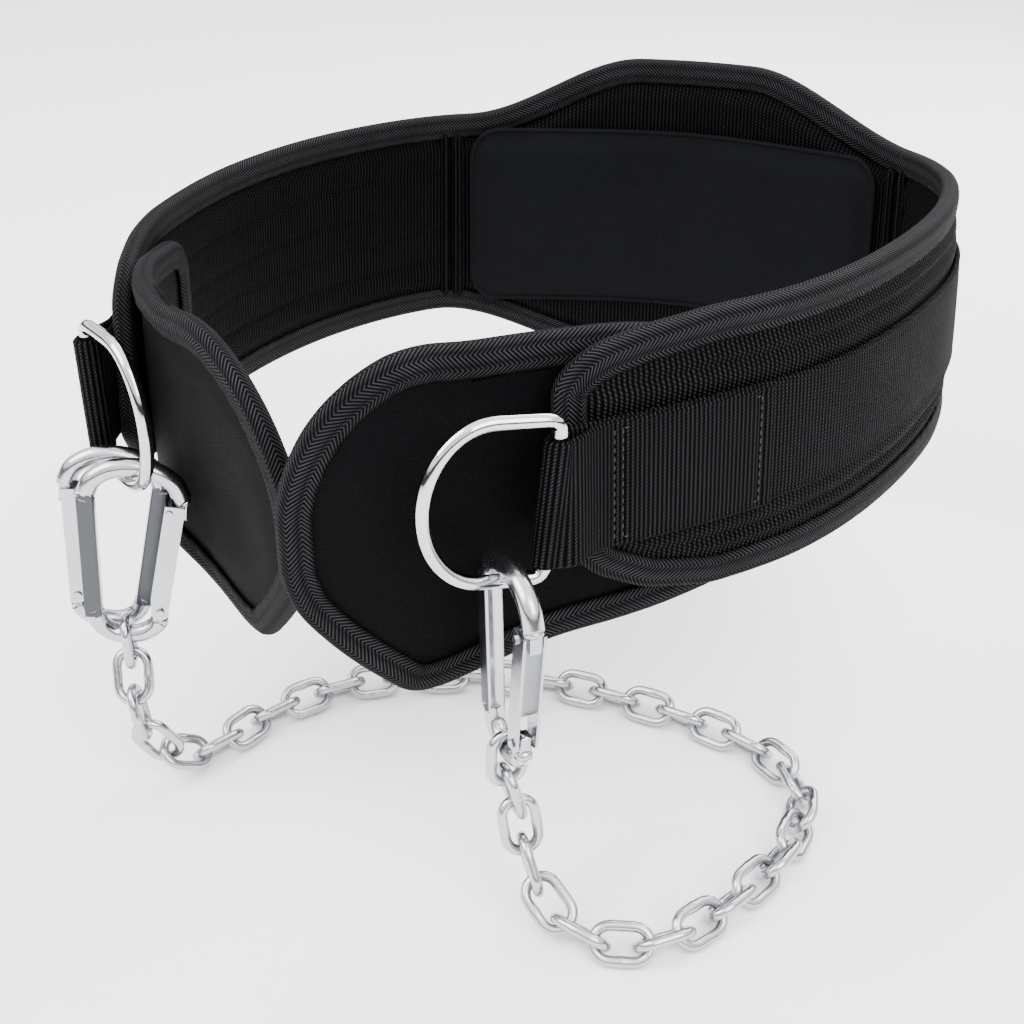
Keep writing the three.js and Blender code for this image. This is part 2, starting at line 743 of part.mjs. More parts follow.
// Gate: a folded channel, open outwards, with a latch pin near its tip. Its own frame has the pivot
// at the origin and the tip along +Y.
const gateReach = pivot.distanceTo(latch);
const gateTip = gateReach + 3.5;

function gateGeometry() {
  const side = new THREE.Shape();
  const heel = GATE_OUTSIDE + 0.4;
  side.moveTo(GATE_OUTSIDE, 0);
  side.lineTo(GATE_OUTSIDE, gateTip);
  side.lineTo(-GATE_INSIDE, gateTip);
  side.lineTo(-GATE_INSIDE, 6);
  side.lineTo(-heel, 0);
  side.absarc(0, 0, heel, Math.PI, 2 * Math.PI - 0.3, false);
  const extrude = (shape, thick) => {
    const settings = { depth: thick, bevelEnabled: false, curveSegments: 6 };
    const geometry = new THREE.ExtrudeGeometry(shape, settings);
    return geometry.translate(0, 0, -thick / 2);
  };
  const slot = new THREE.Shape();
  const web = -GATE_INSIDE + GATE_WALL;
  slot.moveTo(GATE_OUTSIDE + 5, -10);
  slot.lineTo(GATE_OUTSIDE + 5, gateTip + 5);
  slot.lineTo(web, gateTip + 5);
  slot.lineTo(web, 8);
  slot.lineTo(-GATE_INSIDE - 5, 8);
  slot.lineTo(-GATE_INSIDE - 5, -10);
  const channel = solid(extrude(side, GATE_WIDTH)).subtract(
    solid(extrude(slot, GATE_WIDTH - 2 * GATE_WALL)),
  );
  const bore = solid(pinGeometry(PIN / 2 + GAP, GATE_WIDTH * 2));
  const latchPin = pinGeometry(PIN / 2, GATE_WIDTH - GATE_WALL);
  latchPin.translate(web + PIN / 2 - 0.2, gateReach, 0);
  const heads = pinGeometry(RIVET_HEAD / 2, GATE_WIDTH + 2 * RIVET_RISE);
  heads.translate(web + PIN / 2 - 0.2, gateReach, 0);
  const hollow = pinGeometry(RIVET_HEAD, GATE_WIDTH - 0.4);
  hollow.translate(web + PIN / 2 - 0.2, gateReach, 0);
  const rivets = solid(heads).subtract(solid(hollow));
  return geometryOf(channel.subtract(bore).add(solid(latchPin)).add(rivets));
}

// Pivot pin: a rivet through the tongue and both walls of the gate, its heads outside them
function pivotGeometry() {
  const shank = solid(pinGeometry(PIN / 2, GATE_WIDTH + 2 * GAP + 2 * RIVET_RISE));
  const head = (sign) => {
    const disc = pinGeometry(RIVET_HEAD / 2, RIVET_RISE);
    return solid(disc.translate(0, 0, sign * (GATE_WIDTH / 2 + GAP + RIVET_RISE / 2)));
  };
  return geometryOf(shank.add(head(1)).add(head(-1)));
}

// Carabiners: the ring that each hangs on, how far along its bow, which way its gate faces (1 away
// from the waist, -1 towards it), how far it turns about the vertical, how far its foot leans
// towards its gate, and how far the ring's wire sits from its middle towards the gate
const CARABINERS = [
  { name: "right", side: RIGHT, along: 16, gate: 1, turn: 4, lean: -2, seat: -8 },
  { name: "left_front", side: LEFT, along: 27, gate: -1, turn: -29, lean: -9, seat: 0 },
  { name: "left_back", side: LEFT, along: 12, gate: 1, turn: -29, lean: 9, seat: -1 },
];

function ringLevel(along) {
  const half = RING_BAR / 2;
  if (along < RING_LEG) return -half;
  const x = (along - RING_LEG) / (RING_REACH - RING_LEG);
  return -half * Math.sqrt(Math.max(0, 1 - x * x));
}

const hung = CARABINERS.map((row) => {
  const { group, across } = ringGroups[row.side];
  const wire = group.localToWorld(new THREE.Vector3(row.along, 0, ringLevel(row.along)));
  const holder = new THREE.Group();
  const outwards = row.side === RIGHT ? across.clone() : across.clone().negate();
  const gateWay = outwards.multiplyScalar(row.gate).applyAxisAngle(UP, THREE.MathUtils.degToRad(row.turn));
  const depth = new THREE.Vector3().crossVectors(gateWay, UP).normalize();
  holder.quaternion.setFromRotationMatrix(new THREE.Matrix4().makeBasis(gateWay, UP, depth));
  const rest = (RING_WIRE + CARABINER_ROD) / 2 + 2 * GAP;
  const dip = 9 * (row.seat / topHalf) ** 2;
  holder.position.copy(wire);
  holder.rotateZ(THREE.MathUtils.degToRad(row.lean));
  holder.translateX(-row.seat);
  holder.translateY(rest + dip - frameHalf);
  belt.add(holder);
  addPiece(`carabiner_${row.name}`, carabinerGeometry(), "aluminium", holder);
  const hinge = new THREE.Group();
  hinge.position.set(pivot.x, pivot.y, 0);
  hinge.rotation.z = -Math.atan2(latch.x - pivot.x, latch.y - pivot.y);
  holder.add(hinge);
  addPiece(`gate_${row.name}`, gateGeometry(), "aluminium", hinge);
  addPiece(`gate_pin_${row.name}`, pivotGeometry(), "aluminium", hinge);
  holder.updateMatrixWorld(true);
  const foot = holder.localToWorld(new THREE.Vector3(0, -frameHalf, 0));
  return { foot, gateWay };
});

// Chain. Its route starts above the foot rod of the right carabiner, drops to the floor, runs
// round on it and climbs to the front carabiner on the left. The middle points were chosen by hand.
const CHAIN_POINTS = [
  [69, -152, -132],
  [73, -155, -148],
  [81, -160, -161],
  [95, -166, -168.5],
  [110, -168, -170],
  [125, -163, -170],
  [138, -150, -170],
  [150, -126, -170],
  [162, -88, -170],
  [161, -56, -170],
  [144, -33, -170],
  [107, -21, -170],
  [62, -18, -170],
  [21, -21, -170],
  [-22, -36, -170],
  [-62, -62, -170],
  [-86, -100, -170],
  [-91, -122, -170],
  [-97, -139, -169],
  [-104, -151, -161],
  [-110, -157, -147],
  [-115, -155, -130],
];

const wireHalf = CHAIN_WIRE / 2;
const firstFoot = hung[0];
const lastFoot = hung[1];
const onRod = (foot) => foot.clone().addScaledVector(UP, CARABINER_ROD / 2 + GAP / 2);
const routeStart = onRod(firstFoot.foot);
const routeEnd = onRod(lastFoot.foot);
const below = (foot, drop) => foot.clone().addScaledVector(UP, -drop);
const route = new THREE.CatmullRomCurve3(
  [
    routeStart,
    below(firstFoot.foot, 20),
    ...CHAIN_POINTS.map(([x, y, z]) => new THREE.Vector3(x, y, z)),
    below(lastFoot.foot, 20),
    routeEnd,
  ],
  false,
  "centripetal",
);
route.arcLengthDivisions = 3000;
const routeLength = route.getLength();
const linkCount = Math.ceil(routeLength / (CHAIN_PITCH - CHAIN_SLACK));

// Link in its own frame: long along X, flat in the XY plane
function linkGeometry() {
  const side = CHAIN_INNER_WIDTH / 2 + wireHalf;
  const half = CHAIN_PITCH / 2 + wireHalf;
  const turns = 4;
  const points = [];
  for (const [centre, start] of [
    [half - side, -Math.PI / 2],
    [-half + side, Math.PI / 2],
  ]) {
    for (let i = 0; i <= turns; i += 1) {
      const angle = start + (i * Math.PI) / turns;
      points.push(new THREE.Vector3(centre + side * Math.cos(angle), side * Math.sin(angle), 0));
    }
  }
  return wireLoop(points, new THREE.Vector3(0, 0, 1), wireHalf, 5);
}

// Every second link stands square to its neighbours. The facing of a link is carried along the
// route without twist, and then rolled: square to the rod at either end, and at 45 degrees on the
// floor, where the chain rests on two edges of every link.
const spans = [];
for (let i = 0; i < linkCount; i += 1) {
  const from = route.getPointAt(i / linkCount);
  const to = route.getPointAt((i + 1) / linkCount);
  const along = to.clone().sub(from).normalize();
  const facing = firstFoot.gateWay.clone();
  if (i > 0) {
    const turn = new THREE.Quaternion().setFromUnitVectors(spans[i - 1].along, along);
    facing.copy(spans[i - 1].facing).applyQuaternion(turn);
  }
  facing.addScaledVector(along, -facing.dot(along)).normalize();
  const across = new THREE.Vector3().crossVectors(facing, along);
  spans.push({ middle: from.add(to).multiplyScalar(0.5), along, across, facing });
}

function rollTo({ across, facing }, wanted) {
  return Math.atan2(-wanted.dot(across), wanted.dot(facing));
}

const square = Math.PI / 2;
const nearestTurn = (angle, step, target) => angle + step * Math.round((target - angle) / step);
const floorSpan = spans[Math.floor(linkCount / 2)];
const tilted = new THREE.Vector3().crossVectors(UP, floorSpan.along).add(UP);
const floorRoll = nearestTurn(rollTo(floorSpan, tilted), square, 0);
const lastTurn = ((linkCount - 1) % 2) * square;
const lastRoll = rollTo(spans[linkCount - 1], lastFoot.gateWay) - lastTurn;
const endRoll = nearestTurn(lastRoll, Math.PI, floorRoll);

spans.forEach(({ middle, along, across, facing }, i) => {
  const settled = floorRoll * smooth(0, HANGING_LINKS, i);
  const leaving = smooth(linkCount - 1 - HANGING_LINKS, linkCount - 1, i);
  const roll = THREE.MathUtils.lerp(settled, endRoll, leaving);
  const link = addPiece(`chain_link_${String(i + 1).padStart(2, "0")}`, linkGeometry(), "zinc_steel");
  link.quaternion.setFromRotationMatrix(new THREE.Matrix4().makeBasis(along, across, facing));
  link.rotateX(roll + (i % 2) * square);
  link.position.copy(middle);
});

export default belt;
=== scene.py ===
# %% [markdown]
# # A dip belt
# A padded waist belt for weighted dips. A wide foam band closes round the waist, a webbing strap
# carries the load round it, and a steel chain hangs from a ring at each end. The solid model is
# loaded first as the frame; this lesson then dresses it piece by piece and never moves it.

# %% Load the frame
import math

import bmesh
import bpy
import numpy as np
from mathutils import Matrix, Vector


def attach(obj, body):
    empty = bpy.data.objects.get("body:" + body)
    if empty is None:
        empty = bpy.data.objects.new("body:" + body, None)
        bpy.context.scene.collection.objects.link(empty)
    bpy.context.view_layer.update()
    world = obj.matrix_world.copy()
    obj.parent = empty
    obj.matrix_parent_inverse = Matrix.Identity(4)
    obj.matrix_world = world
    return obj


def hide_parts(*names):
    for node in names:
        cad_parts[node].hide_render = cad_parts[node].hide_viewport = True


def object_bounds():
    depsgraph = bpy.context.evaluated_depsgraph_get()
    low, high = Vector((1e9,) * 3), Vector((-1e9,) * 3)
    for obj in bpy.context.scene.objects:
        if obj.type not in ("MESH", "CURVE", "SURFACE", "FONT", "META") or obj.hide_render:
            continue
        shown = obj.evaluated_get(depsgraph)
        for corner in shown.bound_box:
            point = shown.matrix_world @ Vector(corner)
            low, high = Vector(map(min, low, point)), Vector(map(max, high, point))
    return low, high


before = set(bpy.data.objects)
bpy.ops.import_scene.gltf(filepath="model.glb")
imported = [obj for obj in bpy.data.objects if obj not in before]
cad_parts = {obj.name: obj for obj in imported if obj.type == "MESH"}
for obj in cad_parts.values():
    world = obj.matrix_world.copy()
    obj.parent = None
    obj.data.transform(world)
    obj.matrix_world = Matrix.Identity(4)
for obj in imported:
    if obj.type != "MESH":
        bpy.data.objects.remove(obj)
cad_box = [[float(v) for v in corner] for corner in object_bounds()]
BODY = "belt"
MM = 0.001
print("frame loaded,", len(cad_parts), "solids, box", cad_box)

# %% [markdown]
# ## Sizes
# Every soft piece follows one line, the plan of the band seen from above, so that line and the
# belt's main sizes come first. They repeat the values of the solid model, in millimetres, and the
# whole script works in metres through MM.

# %% Main sizes, in millimetres
HALF_WIDTH, HALF_DEPTH = 166, 202
BAND_HALF_HEIGHT, BAND_CORE, BAND_RIM = 56, 8, 4.4
QUILT_LEVEL = 35
LUMBAR_HALF_HEIGHT, LUMBAR_WIDTH, LUMBAR_CENTRE, LUMBAR_EXTRA = 86, 250, 0.53, 3
HUMP_SHIFT = 8
PAD_WIDTH, PAD_HEIGHT, PAD_THICK = 236, 98, 5
TAPE_SHOWN, TAPE_THICK = 12, 1.2
FLAP_LENGTH, FLAP_RISE, FLAP_DROP, FLAP_CORE, FLAP_OVERLAP = 219, 59.5, 79, 4.4, 150
WEBBING_WIDTH, WEBBING_THICK, STRAP_RETURN = 50, 2.4, 88
RING_WIRE, RING_BAR, RING_REACH, RING_LEG, RING_CORNER = 5.6, 62, 48, 24, 4
CARABINER_LENGTH, CARABINER_TOP, CARABINER_ROD = 88, 38, 8
CHAIN_PITCH, CHAIN_WIRE, CHAIN_INNER_WIDTH = 18.4, 4.5, 9
GAP, SOFT_GAP, WALL_FLARE = 0.3, 0.4, 4
RIGHT, LEFT = 0, 1

# Cloth ends this far inside the fold of its tape, and foam fills it between these distances
BAND_TUCK, LEAF_TUCK = 1.6, 1.8
FOAM_BEGIN, FOAM_FULL = 11, 17

# The plan of the band from the right ring round to the left one, as shares of the half width and
# half depth
BAND_PLAN = [
    (0.428, -0.624), (0.652, -0.398), (0.827, -0.178), (0.945, 0.109), (1.0, 0.48),
    (0.944, 0.745), (0.777, 0.906), (0.458, 0.978), (0.057, 1.0), (-0.363, 0.896),
    (-0.692, 0.748), (-0.903, 0.459), (-0.982, 0.07), (-0.9, -0.34), (-0.756, -0.598),
]

# %% A smooth line through points, and a wall that stands on it
def smooth(low, high, value):
    x = np.clip((np.asarray(value, float) - low) / (high - low), 0, 1)
    return x * x * (3 - 2 * x)


def through(points, steps=160):
    """A dense smooth line through points, by the centripetal Catmull-Rom rule."""
    p = [np.array(q, float) for q in points]
    p = [2 * p[0] - p[1]] + p + [2 * p[-1] - p[-2]]
    t = np.linspace(0, 1, steps, endpoint=False)[:, None]
    line = []
    for a, b, c, d in zip(p, p[1:], p[2:], p[3:]):
        da, db, dc = (max(np.linalg.norm(v) ** 0.5, 1e-4) for v in (b - a, c - b, d - c))
        m = db * ((b - a) / da - (c - a) / (da + db) + (c - b) / db)
        n = db * ((c - b) / db - (d - b) / (db + dc) + (d - c) / dc)
        line.append(b + m * t + (3 * (c - b) - 2 * m - n) * t**2 + (2 * (b - c) + m + n) * t**3)
    line.append(p[-2][None, :])
    return np.concatenate(line)


class Wall:
    """s runs along the plan, z up and out away from the waist, all in millimetres."""

    def __init__(self, points):
        self.line = through(points)
        steps = np.linalg.norm(np.diff(self.line, axis=0), axis=1)
        self.at = np.concatenate([[0], np.cumsum(steps)])
        self.length = self.at[-1]
        self.way = np.gradient(self.line, self.at, axis=0)
        self.flare = lambda s: WALL_FLARE + 0 * s
        self.sag = lambda s: 0 * s

    def frame(self, s):
        s = np.asarray(s, float)
        u = np.clip(s, 0, self.length)
        spot = np.stack([np.interp(u, self.at, self.line[:, k]) for k in (0, 1)], -1)
        way = np.stack([np.interp(u, self.at, self.way[:, k]) for k in (0, 1)], -1)
        way /= np.linalg.norm(way, axis=-1, keepdims=True)
        outward = np.stack([way[..., 1], -way[..., 0]], -1)
        return spot + way * (s - u)[..., None], way, outward

    def point(self, s, z, out):
        s, z, out = np.broadcast_arrays(*(np.asarray(v, float) for v in (s, z, out)))
        spot, way, outward = self.frame(s)
        lean = np.tan(np.radians(self.flare(s)))
        flat = spot + outward * (out - z * lean)[..., None]
        return np.concatenate([flat, (z - self.sag(s))[..., None]], -1)


band_wall = Wall([(x * HALF_WIDTH, y * HALF_DEPTH) for x, y in BAND_PLAN])
LENGTH = band_wall.length
LUMBAR_MIDDLE = LUMBAR_CENTRE * LENGTH
print("the band is", round(LENGTH), "mm long")

# %% [markdown]
# ## One way to make cloth
# Bands, flaps, tapes and straps are all a flat weave bent into a tube or a hoop. So each one
# starts as a flat grid from Blender, and a function puts every point of the grid in its place.
# A grid that closes on itself is merged along its seam, and open ends are filled. Its UV map
# keeps the millimetres of the flat cloth, so a weave drawn there runs with the threads.

# %% Make a piece from a grid
def make(name, columns, rows, place):
    """place(u, v) gives points and flat positions, in mm, for u and v from 0 to 1."""
    bm = bmesh.new()
    bmesh.ops.create_grid(bm, x_segments=columns, y_segments=rows, size=1)
    bm.verts.ensure_lookup_table()
    flat = np.array([v.co for v in bm.verts])
    u, v = (flat[:, 0] + 1) / 2, (flat[:, 1] + 1) / 2
    points, weave = place(u, v)
    uv = bm.loops.layers.uv.new("cloth")
    for face in bm.faces:
        for loop in face.loops:
            loop[uv].uv = weave[loop.vert.index]
    for vert, point in zip(bm.verts, points * MM):
        vert.co = point
    bmesh.ops.remove_doubles(bm, verts=bm.verts, dist=1e-6)
    rims = [e for e in bm.edges if e.is_boundary]
    if rims:
        bmesh.ops.holes_fill(bm, edges=rims, sides=0)
    bmesh.ops.recalc_face_normals(bm, faces=bm.faces)
    return keep(name, bm)


def keep(name, bm):
    """Turns a bmesh into an object of the scene that moves with the belt."""
    mesh = bpy.data.meshes.new(name)
    bm.to_mesh(mesh)
    bm.free()
    mesh.shade_smooth()
    piece = bpy.data.objects.new(name, mesh)
    bpy.context.scene.collection.objects.link(piece)
    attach(piece, BODY)
    print(name, len(mesh.polygons), "faces")
    return piece


# %% [markdown]
# ## Finishes
# The belt is black on black, so the weave carries the picture: ribs on the band, a herringbone on
# the edge tape, a tight weave on the webbing and a fine jersey on the flaps. Each is drawn with
# node maths on the piece's own UV map, in metres of cloth. Shader maths is written as ordinary
# expressions through a small class that wraps a socket.

# %% A socket that can be calculated with
class Value:
    def __init__(self, paint, socket):
        self.paint, self.socket = paint, socket

    def math(self, operation, *others):
        node = self.paint.node("ShaderNodeMath", {"operation": operation}, [self, *others])
        return self.paint.out(node)

    def __add__(self, other):
        return self.math("ADD", other)

    def __mul__(self, other):
        return self.math("MULTIPLY", other)

    def __pow__(self, other):
        return self.math("POWER", other)

    __radd__, __rmul__ = __add__, __mul__


class Paint:
    """A material under construction."""

    def __init__(self, name):
        self.material = bpy.data.materials.new(name)
        self.material.use_nodes = True
        self.tree = self.material.node_tree
        self.shader = self.tree.nodes["Principled BSDF"]

    def node(self, kind, settings, inputs):
        node = self.tree.nodes.new(kind)
        for key, value in settings.items():
            setattr(node, key, value)
        pairs = inputs.items() if isinstance(inputs, dict) else enumerate(inputs)
        for key, value in pairs:
            if isinstance(value, Value):
                self.tree.links.new(value.socket, node.inputs[key])
            else:
                node.inputs[key].default_value = value
        return node

    def out(self, node, index=0):
        return Value(self, node.outputs[index])

    def cloth(self):
        """Position on the flat cloth: along and across, in metres."""
        uv = self.out(self.node("ShaderNodeUVMap", {"uv_map": "cloth"}, []))
        split = self.node("ShaderNodeSeparateXYZ", {}, [uv])
        return self.out(split, 0), self.out(split, 1)

    def place(self):
        return self.out(self.node("ShaderNodeTexCoord", {}, []), 3)

    def noise(self, vector, scale, detail=3.0, roughness=0.5):
        node = self.node("ShaderNodeTexNoise", {"noise_dimensions": "3D"},
                         {"Vector": vector, "Scale": scale, "Detail": detail,
                          "Roughness": roughness})
        return self.out(node)

    def wave(self, value, pitch):
        """0 to 1 and back over one pitch, in metres."""
        return (value * (2 * math.pi / pitch)).math("SINE") * 0.5 + 0.5

    def mix(self, factor, low, high):
        node = self.node("ShaderNodeMix", {"data_type": "RGBA"},
                         {"Factor": factor, 6: (*low, 1), 7: (*high, 1)})
        return self.out(node, 2)

    def span(self, value, low, high):
        """value from 0 to 1 becomes low to high."""
        return value * (high - low) + low

    def bump(self, height, distance, strength=1.0):
        node = self.node("ShaderNodeBump", {},
                         {"Height": height, "Distance": distance, "Strength": strength})
        self.tree.links.new(node.outputs[0], self.shader.inputs["Normal"])

    def set(self, **values):
        for key, value in values.items():
            socket = self.shader.inputs[key.replace("_", " ")]
            if isinstance(value, Value):
                self.tree.links.new(value.socket, socket)
            else:
                socket.default_value = value
        return self.material


# %% [markdown]
# ### Ribbed cover
# The cover is a heavy knit with upright ribs, about 2 mm apart, and each rib is a stack of short
# slanting stitches. Modelled ribs would cost millions of faces, so the ribs are bump, with painted
# shade in the furrows between them and a painted highlight on their crests, in the base colour.

# %% Woven finishes
def ribbed(name, rib, stitch, dark, pale, depth, slant=0.35):
    paint = Paint(name)
    along, up = paint.cloth()
    ribs = paint.wave(along, rib)
    twist = paint.wave(along * (slant * 2 * stitch / rib) + up, stitch)
    sheen_and_roughness_noise = paint.noise(paint.place(), 38.0, 4.0)
    thread = ribs ** 1.1 * (twist * 0.65 + 0.35)
    paint.bump(thread, depth)
    # painted highlight on the crests and painted shade in the furrows, in the base colour
    painted_crest_light = thread ** 1.8 * paint.span(sheen_and_roughness_noise, 0.55, 1.25)
    paint.set(Base_Color=paint.mix(painted_crest_light, dark, pale),
              Roughness=paint.span(sheen_and_roughness_noise, 0.6, 0.8), Specular_IOR_Level=0.025)
    return paint.material


def herringbone(name, row, line, dark, pale, depth):
    paint = Paint(name)
    along, across = paint.cloth()
    fold = (across * (1 / row)).math("PINGPONG", 1.0)
    thread = paint.wave(along + fold * (row * 1.1), line)
    cut = paint.wave(across, row) ** 0.35
    sheen_and_roughness_noise = paint.noise(paint.place(), 60.0, 3.0)
    relief = thread * (cut * 0.5 + 0.5)
    paint.bump(relief, depth)
    # painted highlight on the raised threads and painted shade in the grooves, in the base colour
    painted_crest_light = relief ** 1.8 * paint.span(sheen_and_roughness_noise, 0.5, 1.25)
    paint.set(Base_Color=paint.mix(painted_crest_light, dark, pale),
              Roughness=paint.span(sheen_and_roughness_noise, 0.58, 0.78), Specular_IOR_Level=0.04)
    return paint.material


def jersey(name, dark, pale, roughness):
    paint = Paint(name)
    along, across = paint.cloth()
    grain = paint.wave(along, 0.0009) * paint.wave(across, 0.0011)
    cloud = paint.noise(paint.place(), 14.0, 4.0, 0.6)
    paint.bump(grain * 0.35 + cloud, 0.0006, 0.7)
    paint.set(Base_Color=paint.mix(cloud * 0.6 + grain * 0.3, dark, pale),
              Roughness=paint.span(cloud, roughness - 0.08, roughness + 0.1),
              Specular_IOR_Level=0.05)
    return paint.material


# dark is painted shade for the furrows, pale a painted highlight for the crests
cover = ribbed("ribbed cover", 0.0022, 0.0016, (0.0001, 0.0001, 0.0002),
               (0.032, 0.033, 0.037), 0.0011)
lining = ribbed("ribbed lining", 0.0021, 0.0016, (0.0001, 0.0001, 0.0002),
                (0.0150, 0.0156, 0.0180), 0.0009)
webbing = ribbed("webbing", 0.0019, 0.0014, (0.0001, 0.0001, 0.0002),
                 (0.033, 0.034, 0.038), 0.0008, 0.6)
tape = herringbone("edge tape", 0.0055, 0.0019, (0.0001, 0.0001, 0.0002),
                   (0.038, 0.039, 0.043), 0.0007)
neoprene = jersey("flap jersey", (0.0003, 0.0004, 0.0005), (0.0013, 0.0015, 0.0020), 0.7)
pad_cloth = jersey("pad cloth", (0.0014, 0.0015, 0.0019), (0.0062, 0.0066, 0.0082), 0.8)
print("woven finishes:", [m.name for m in (cover, lining, webbing, tape, neoprene, pad_cloth)])

# %% [markdown]
# ### Metals
# The rings and clips are polished, the chain has a bright zinc coat. Polished metal shows what is
# round it, so it needs dark things to mirror as well as light. A plain metal with one roughness
# would look like a mirror ball, so fine pits and a cloudy roughness break its reflections.

# %% Metal finishes
def metal(name, colour, low, high, dent):
    paint = Paint(name)
    spots = paint.noise(paint.place(), 420.0, 3.0)
    cloud = paint.noise(paint.place(), 55.0, 3.0)
    paint.bump(spots * 0.25 + cloud, dent)
    deep = tuple(c * 0.72 for c in colour)
    paint.set(Base_Color=paint.mix(cloud ** 0.8, deep, colour), Metallic=1.0,
              Roughness=paint.span(spots * cloud * 2.0, low, high))
    return paint.material


chrome = metal("polished steel", (0.58, 0.59, 0.61), 0.05, 0.14, 0.00008)
clip_metal = metal("polished alloy", (0.50, 0.51, 0.53), 0.12, 0.28, 0.00012)
zinc = metal("zinc coat", (0.50, 0.51, 0.53), 0.12, 0.3, 0.00022)
milled = metal("milled flat", (0.08, 0.083, 0.09), 0.28, 0.5, 0.0001)
print("metals:", [m.name for m in (chrome, clip_metal, zinc, milled)])

# %% [markdown]
# ## The padded band
# The real band is foam between a ribbed cover and a ribbed lining. Its outline rises into a hump
# behind the lower back. The foam swells between two quilting lines that run beside the strap, so
# the thickness is a function of the height and of the distance from the edge. A cloth simulation
# would swell it too, but would wander from the outline that the tape must follow.

# %% Outline of the band
END_TAPER = {
    "from_end": (0, 6, 16, 36, 66),
    "top": (0.66, 0.79, 0.89, 0.96, 1),
    "bottom": (0.42, 0.53, 0.7, 0.88, 1),
}


def band_edge(s, side):
    middle = LUMBAR_MIDDLE - (HUMP_SHIFT if side == "top" else 0)
    reach = np.abs(s - middle) / (LUMBAR_WIDTH / 2)
    bulge = 1 - smooth(0.25, 1.0 if side == "top" else 1.12, reach)
    half = BAND_HALF_HEIGHT + (LUMBAR_HALF_HEIGHT - BAND_HALF_HEIGHT) * bulge
    from_end = np.minimum(s, LENGTH - s)
    share = np.interp(from_end, END_TAPER["from_end"], END_TAPER[side])
    return (1 if side == "top" else -1) * half * share


def loop_of(corners, step=2.0, rounds=4):
    """A closed outline with even steps and softened corners."""
    ring = np.vstack([corners, corners[:1]])
    run = np.concatenate([[0], np.cumsum(np.linalg.norm(np.diff(ring, axis=0), axis=1))])
    count = int(run[-1] / step)
    at = np.linspace(0, run[-1], count, endpoint=False)
    ring = np.stack([np.interp(at, run, ring[:, k]) for k in (0, 1)], -1)
    for _ in range(rounds):
        ring = ring * 0.5 + (np.roll(ring, 1, 0) + np.roll(ring, -1, 0)) * 0.25
    return ring


def inwards(ring):
    """Unit direction from each point of a closed outline towards its inside."""
    way = np.roll(ring, -1, 0) - np.roll(ring, 1, 0)
    way /= np.linalg.norm(way, axis=1, keepdims=True)
    area = np.sum(ring[:, 0] * np.roll(ring[:, 1], -1) - np.roll(ring[:, 0], -1) * ring[:, 1])
    return np.stack([-way[:, 1], way[:, 0]], -1) * np.sign(area)


stations = np.linspace(0, LENGTH, 400)
band_ring = loop_of(np.concatenate([
    np.stack([stations, band_edge(stations, "top")], -1),
    np.stack([stations, band_edge(stations, "bottom")], -1)[::-1],
]))
print("band outline has", len(band_ring), "points")

# %% A panel between two edges, with a front and a back face
def panel(name, wall, begin, end, top, bottom, front, back, columns, rows):
    """front and back give the height off the wall from s, z and the distance to the edge."""
    def place(u, v):
        s = begin + (end - begin) * u
        face = np.where(v < 0.5, v * 2, (1 - v) * 2)
        high, low = top(s), bottom(s)
        tilt = 1 / np.sqrt(1 + ((top(s + 1) - top(s - 1)) / 2) ** 2)
        z = high + (low - high) * face
        edge = np.minimum(np.minimum(high - z, z - low) * tilt,
                          np.minimum(s - begin, end - s))
        out = np.where(v < 0.5, front(s, z, edge), back(s, z, edge))
        return wall.point(s, z, out), np.stack([s, z], -1) * MM
    return make(name, columns, rows * 2, place)


def channel(z, level, width):
    return np.exp(-(((np.abs(z) - level) / width) ** 2))


def band_front(s, z, edge):
    fill = smooth(FOAM_BEGIN, FOAM_FULL, edge)
    rim, full = BAND_RIM / 2, BAND_CORE / 2
    swell = 0.9 * channel(z, 30, 3.4) + 0.7 * channel(z, 40, 3.0)
    quilt = 1.3 * channel(z, QUILT_LEVEL, 1.7)
    ripple = 0.25 * np.sin(s / 9.3 + np.sin(s / 23.0)) * (np.abs(z) > 26)
    return rim + (full - rim) * fill + (swell - quilt + ripple) * fill


def lumbar_share(s):
    return 1 - smooth(0.955, 1.0, np.abs(s - LUMBAR_MIDDLE) / (LUMBAR_WIDTH / 2))


def band_back(s, z, edge):
    fill = smooth(FOAM_BEGIN, FOAM_FULL, edge)
    rim, full = BAND_RIM / 2, BAND_CORE / 2
    plain = 1 - lumbar_share(s)
    rows = 0.9 * (channel(z, 26, 1.6) + 0.7 * channel(z, 8, 1.6)) * plain
    swell = 0.6 * channel(z, 36, 5) * plain
    depth = full - rows + swell + LUMBAR_EXTRA * lumbar_share(s)
    return -(rim + (depth - rim) * fill)


band = panel("band", band_wall, BAND_TUCK, LENGTH - BAND_TUCK,
             lambda s: band_edge(s, "top") - BAND_TUCK,
             lambda s: band_edge(s, "bottom") + BAND_TUCK, band_front, band_back, 430, 62)
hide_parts("padded_band")
band.data.materials.append(cover)
band.data.materials.append(lining)


def line_inside(piece, wall):
    """Gives the faces that look towards the waist the second material."""
    spots = np.array([f.center for f in piece.data.polygons]) / MM
    near = np.linalg.norm(spots[:, None, :2] - wall.line[None, ::20], axis=2).argmin(1)
    outward = np.stack([wall.way[::20][near][:, 1], -wall.way[::20][near][:, 0]], -1)
    facing = np.array([f.normal for f in piece.data.polygons])
    inside = (facing[:, :2] * outward).sum(1) < 0
    piece.data.polygons.foreach_set("material_index", inside.astype("int32"))


line_inside(band, band_wall)

# %% [markdown]
# ## Edge tape
# A folded tape wraps every raw edge and is stitched through. It is a U in section, fuller over the
# edge than at its hems. A bevelled curve could sweep that section, but its section turns freely at
# corners. Here the grid runs along the outline one way and round the U the other way, and closes
# both ways, so the hems stay flat on the cloth and the weave keeps its length.

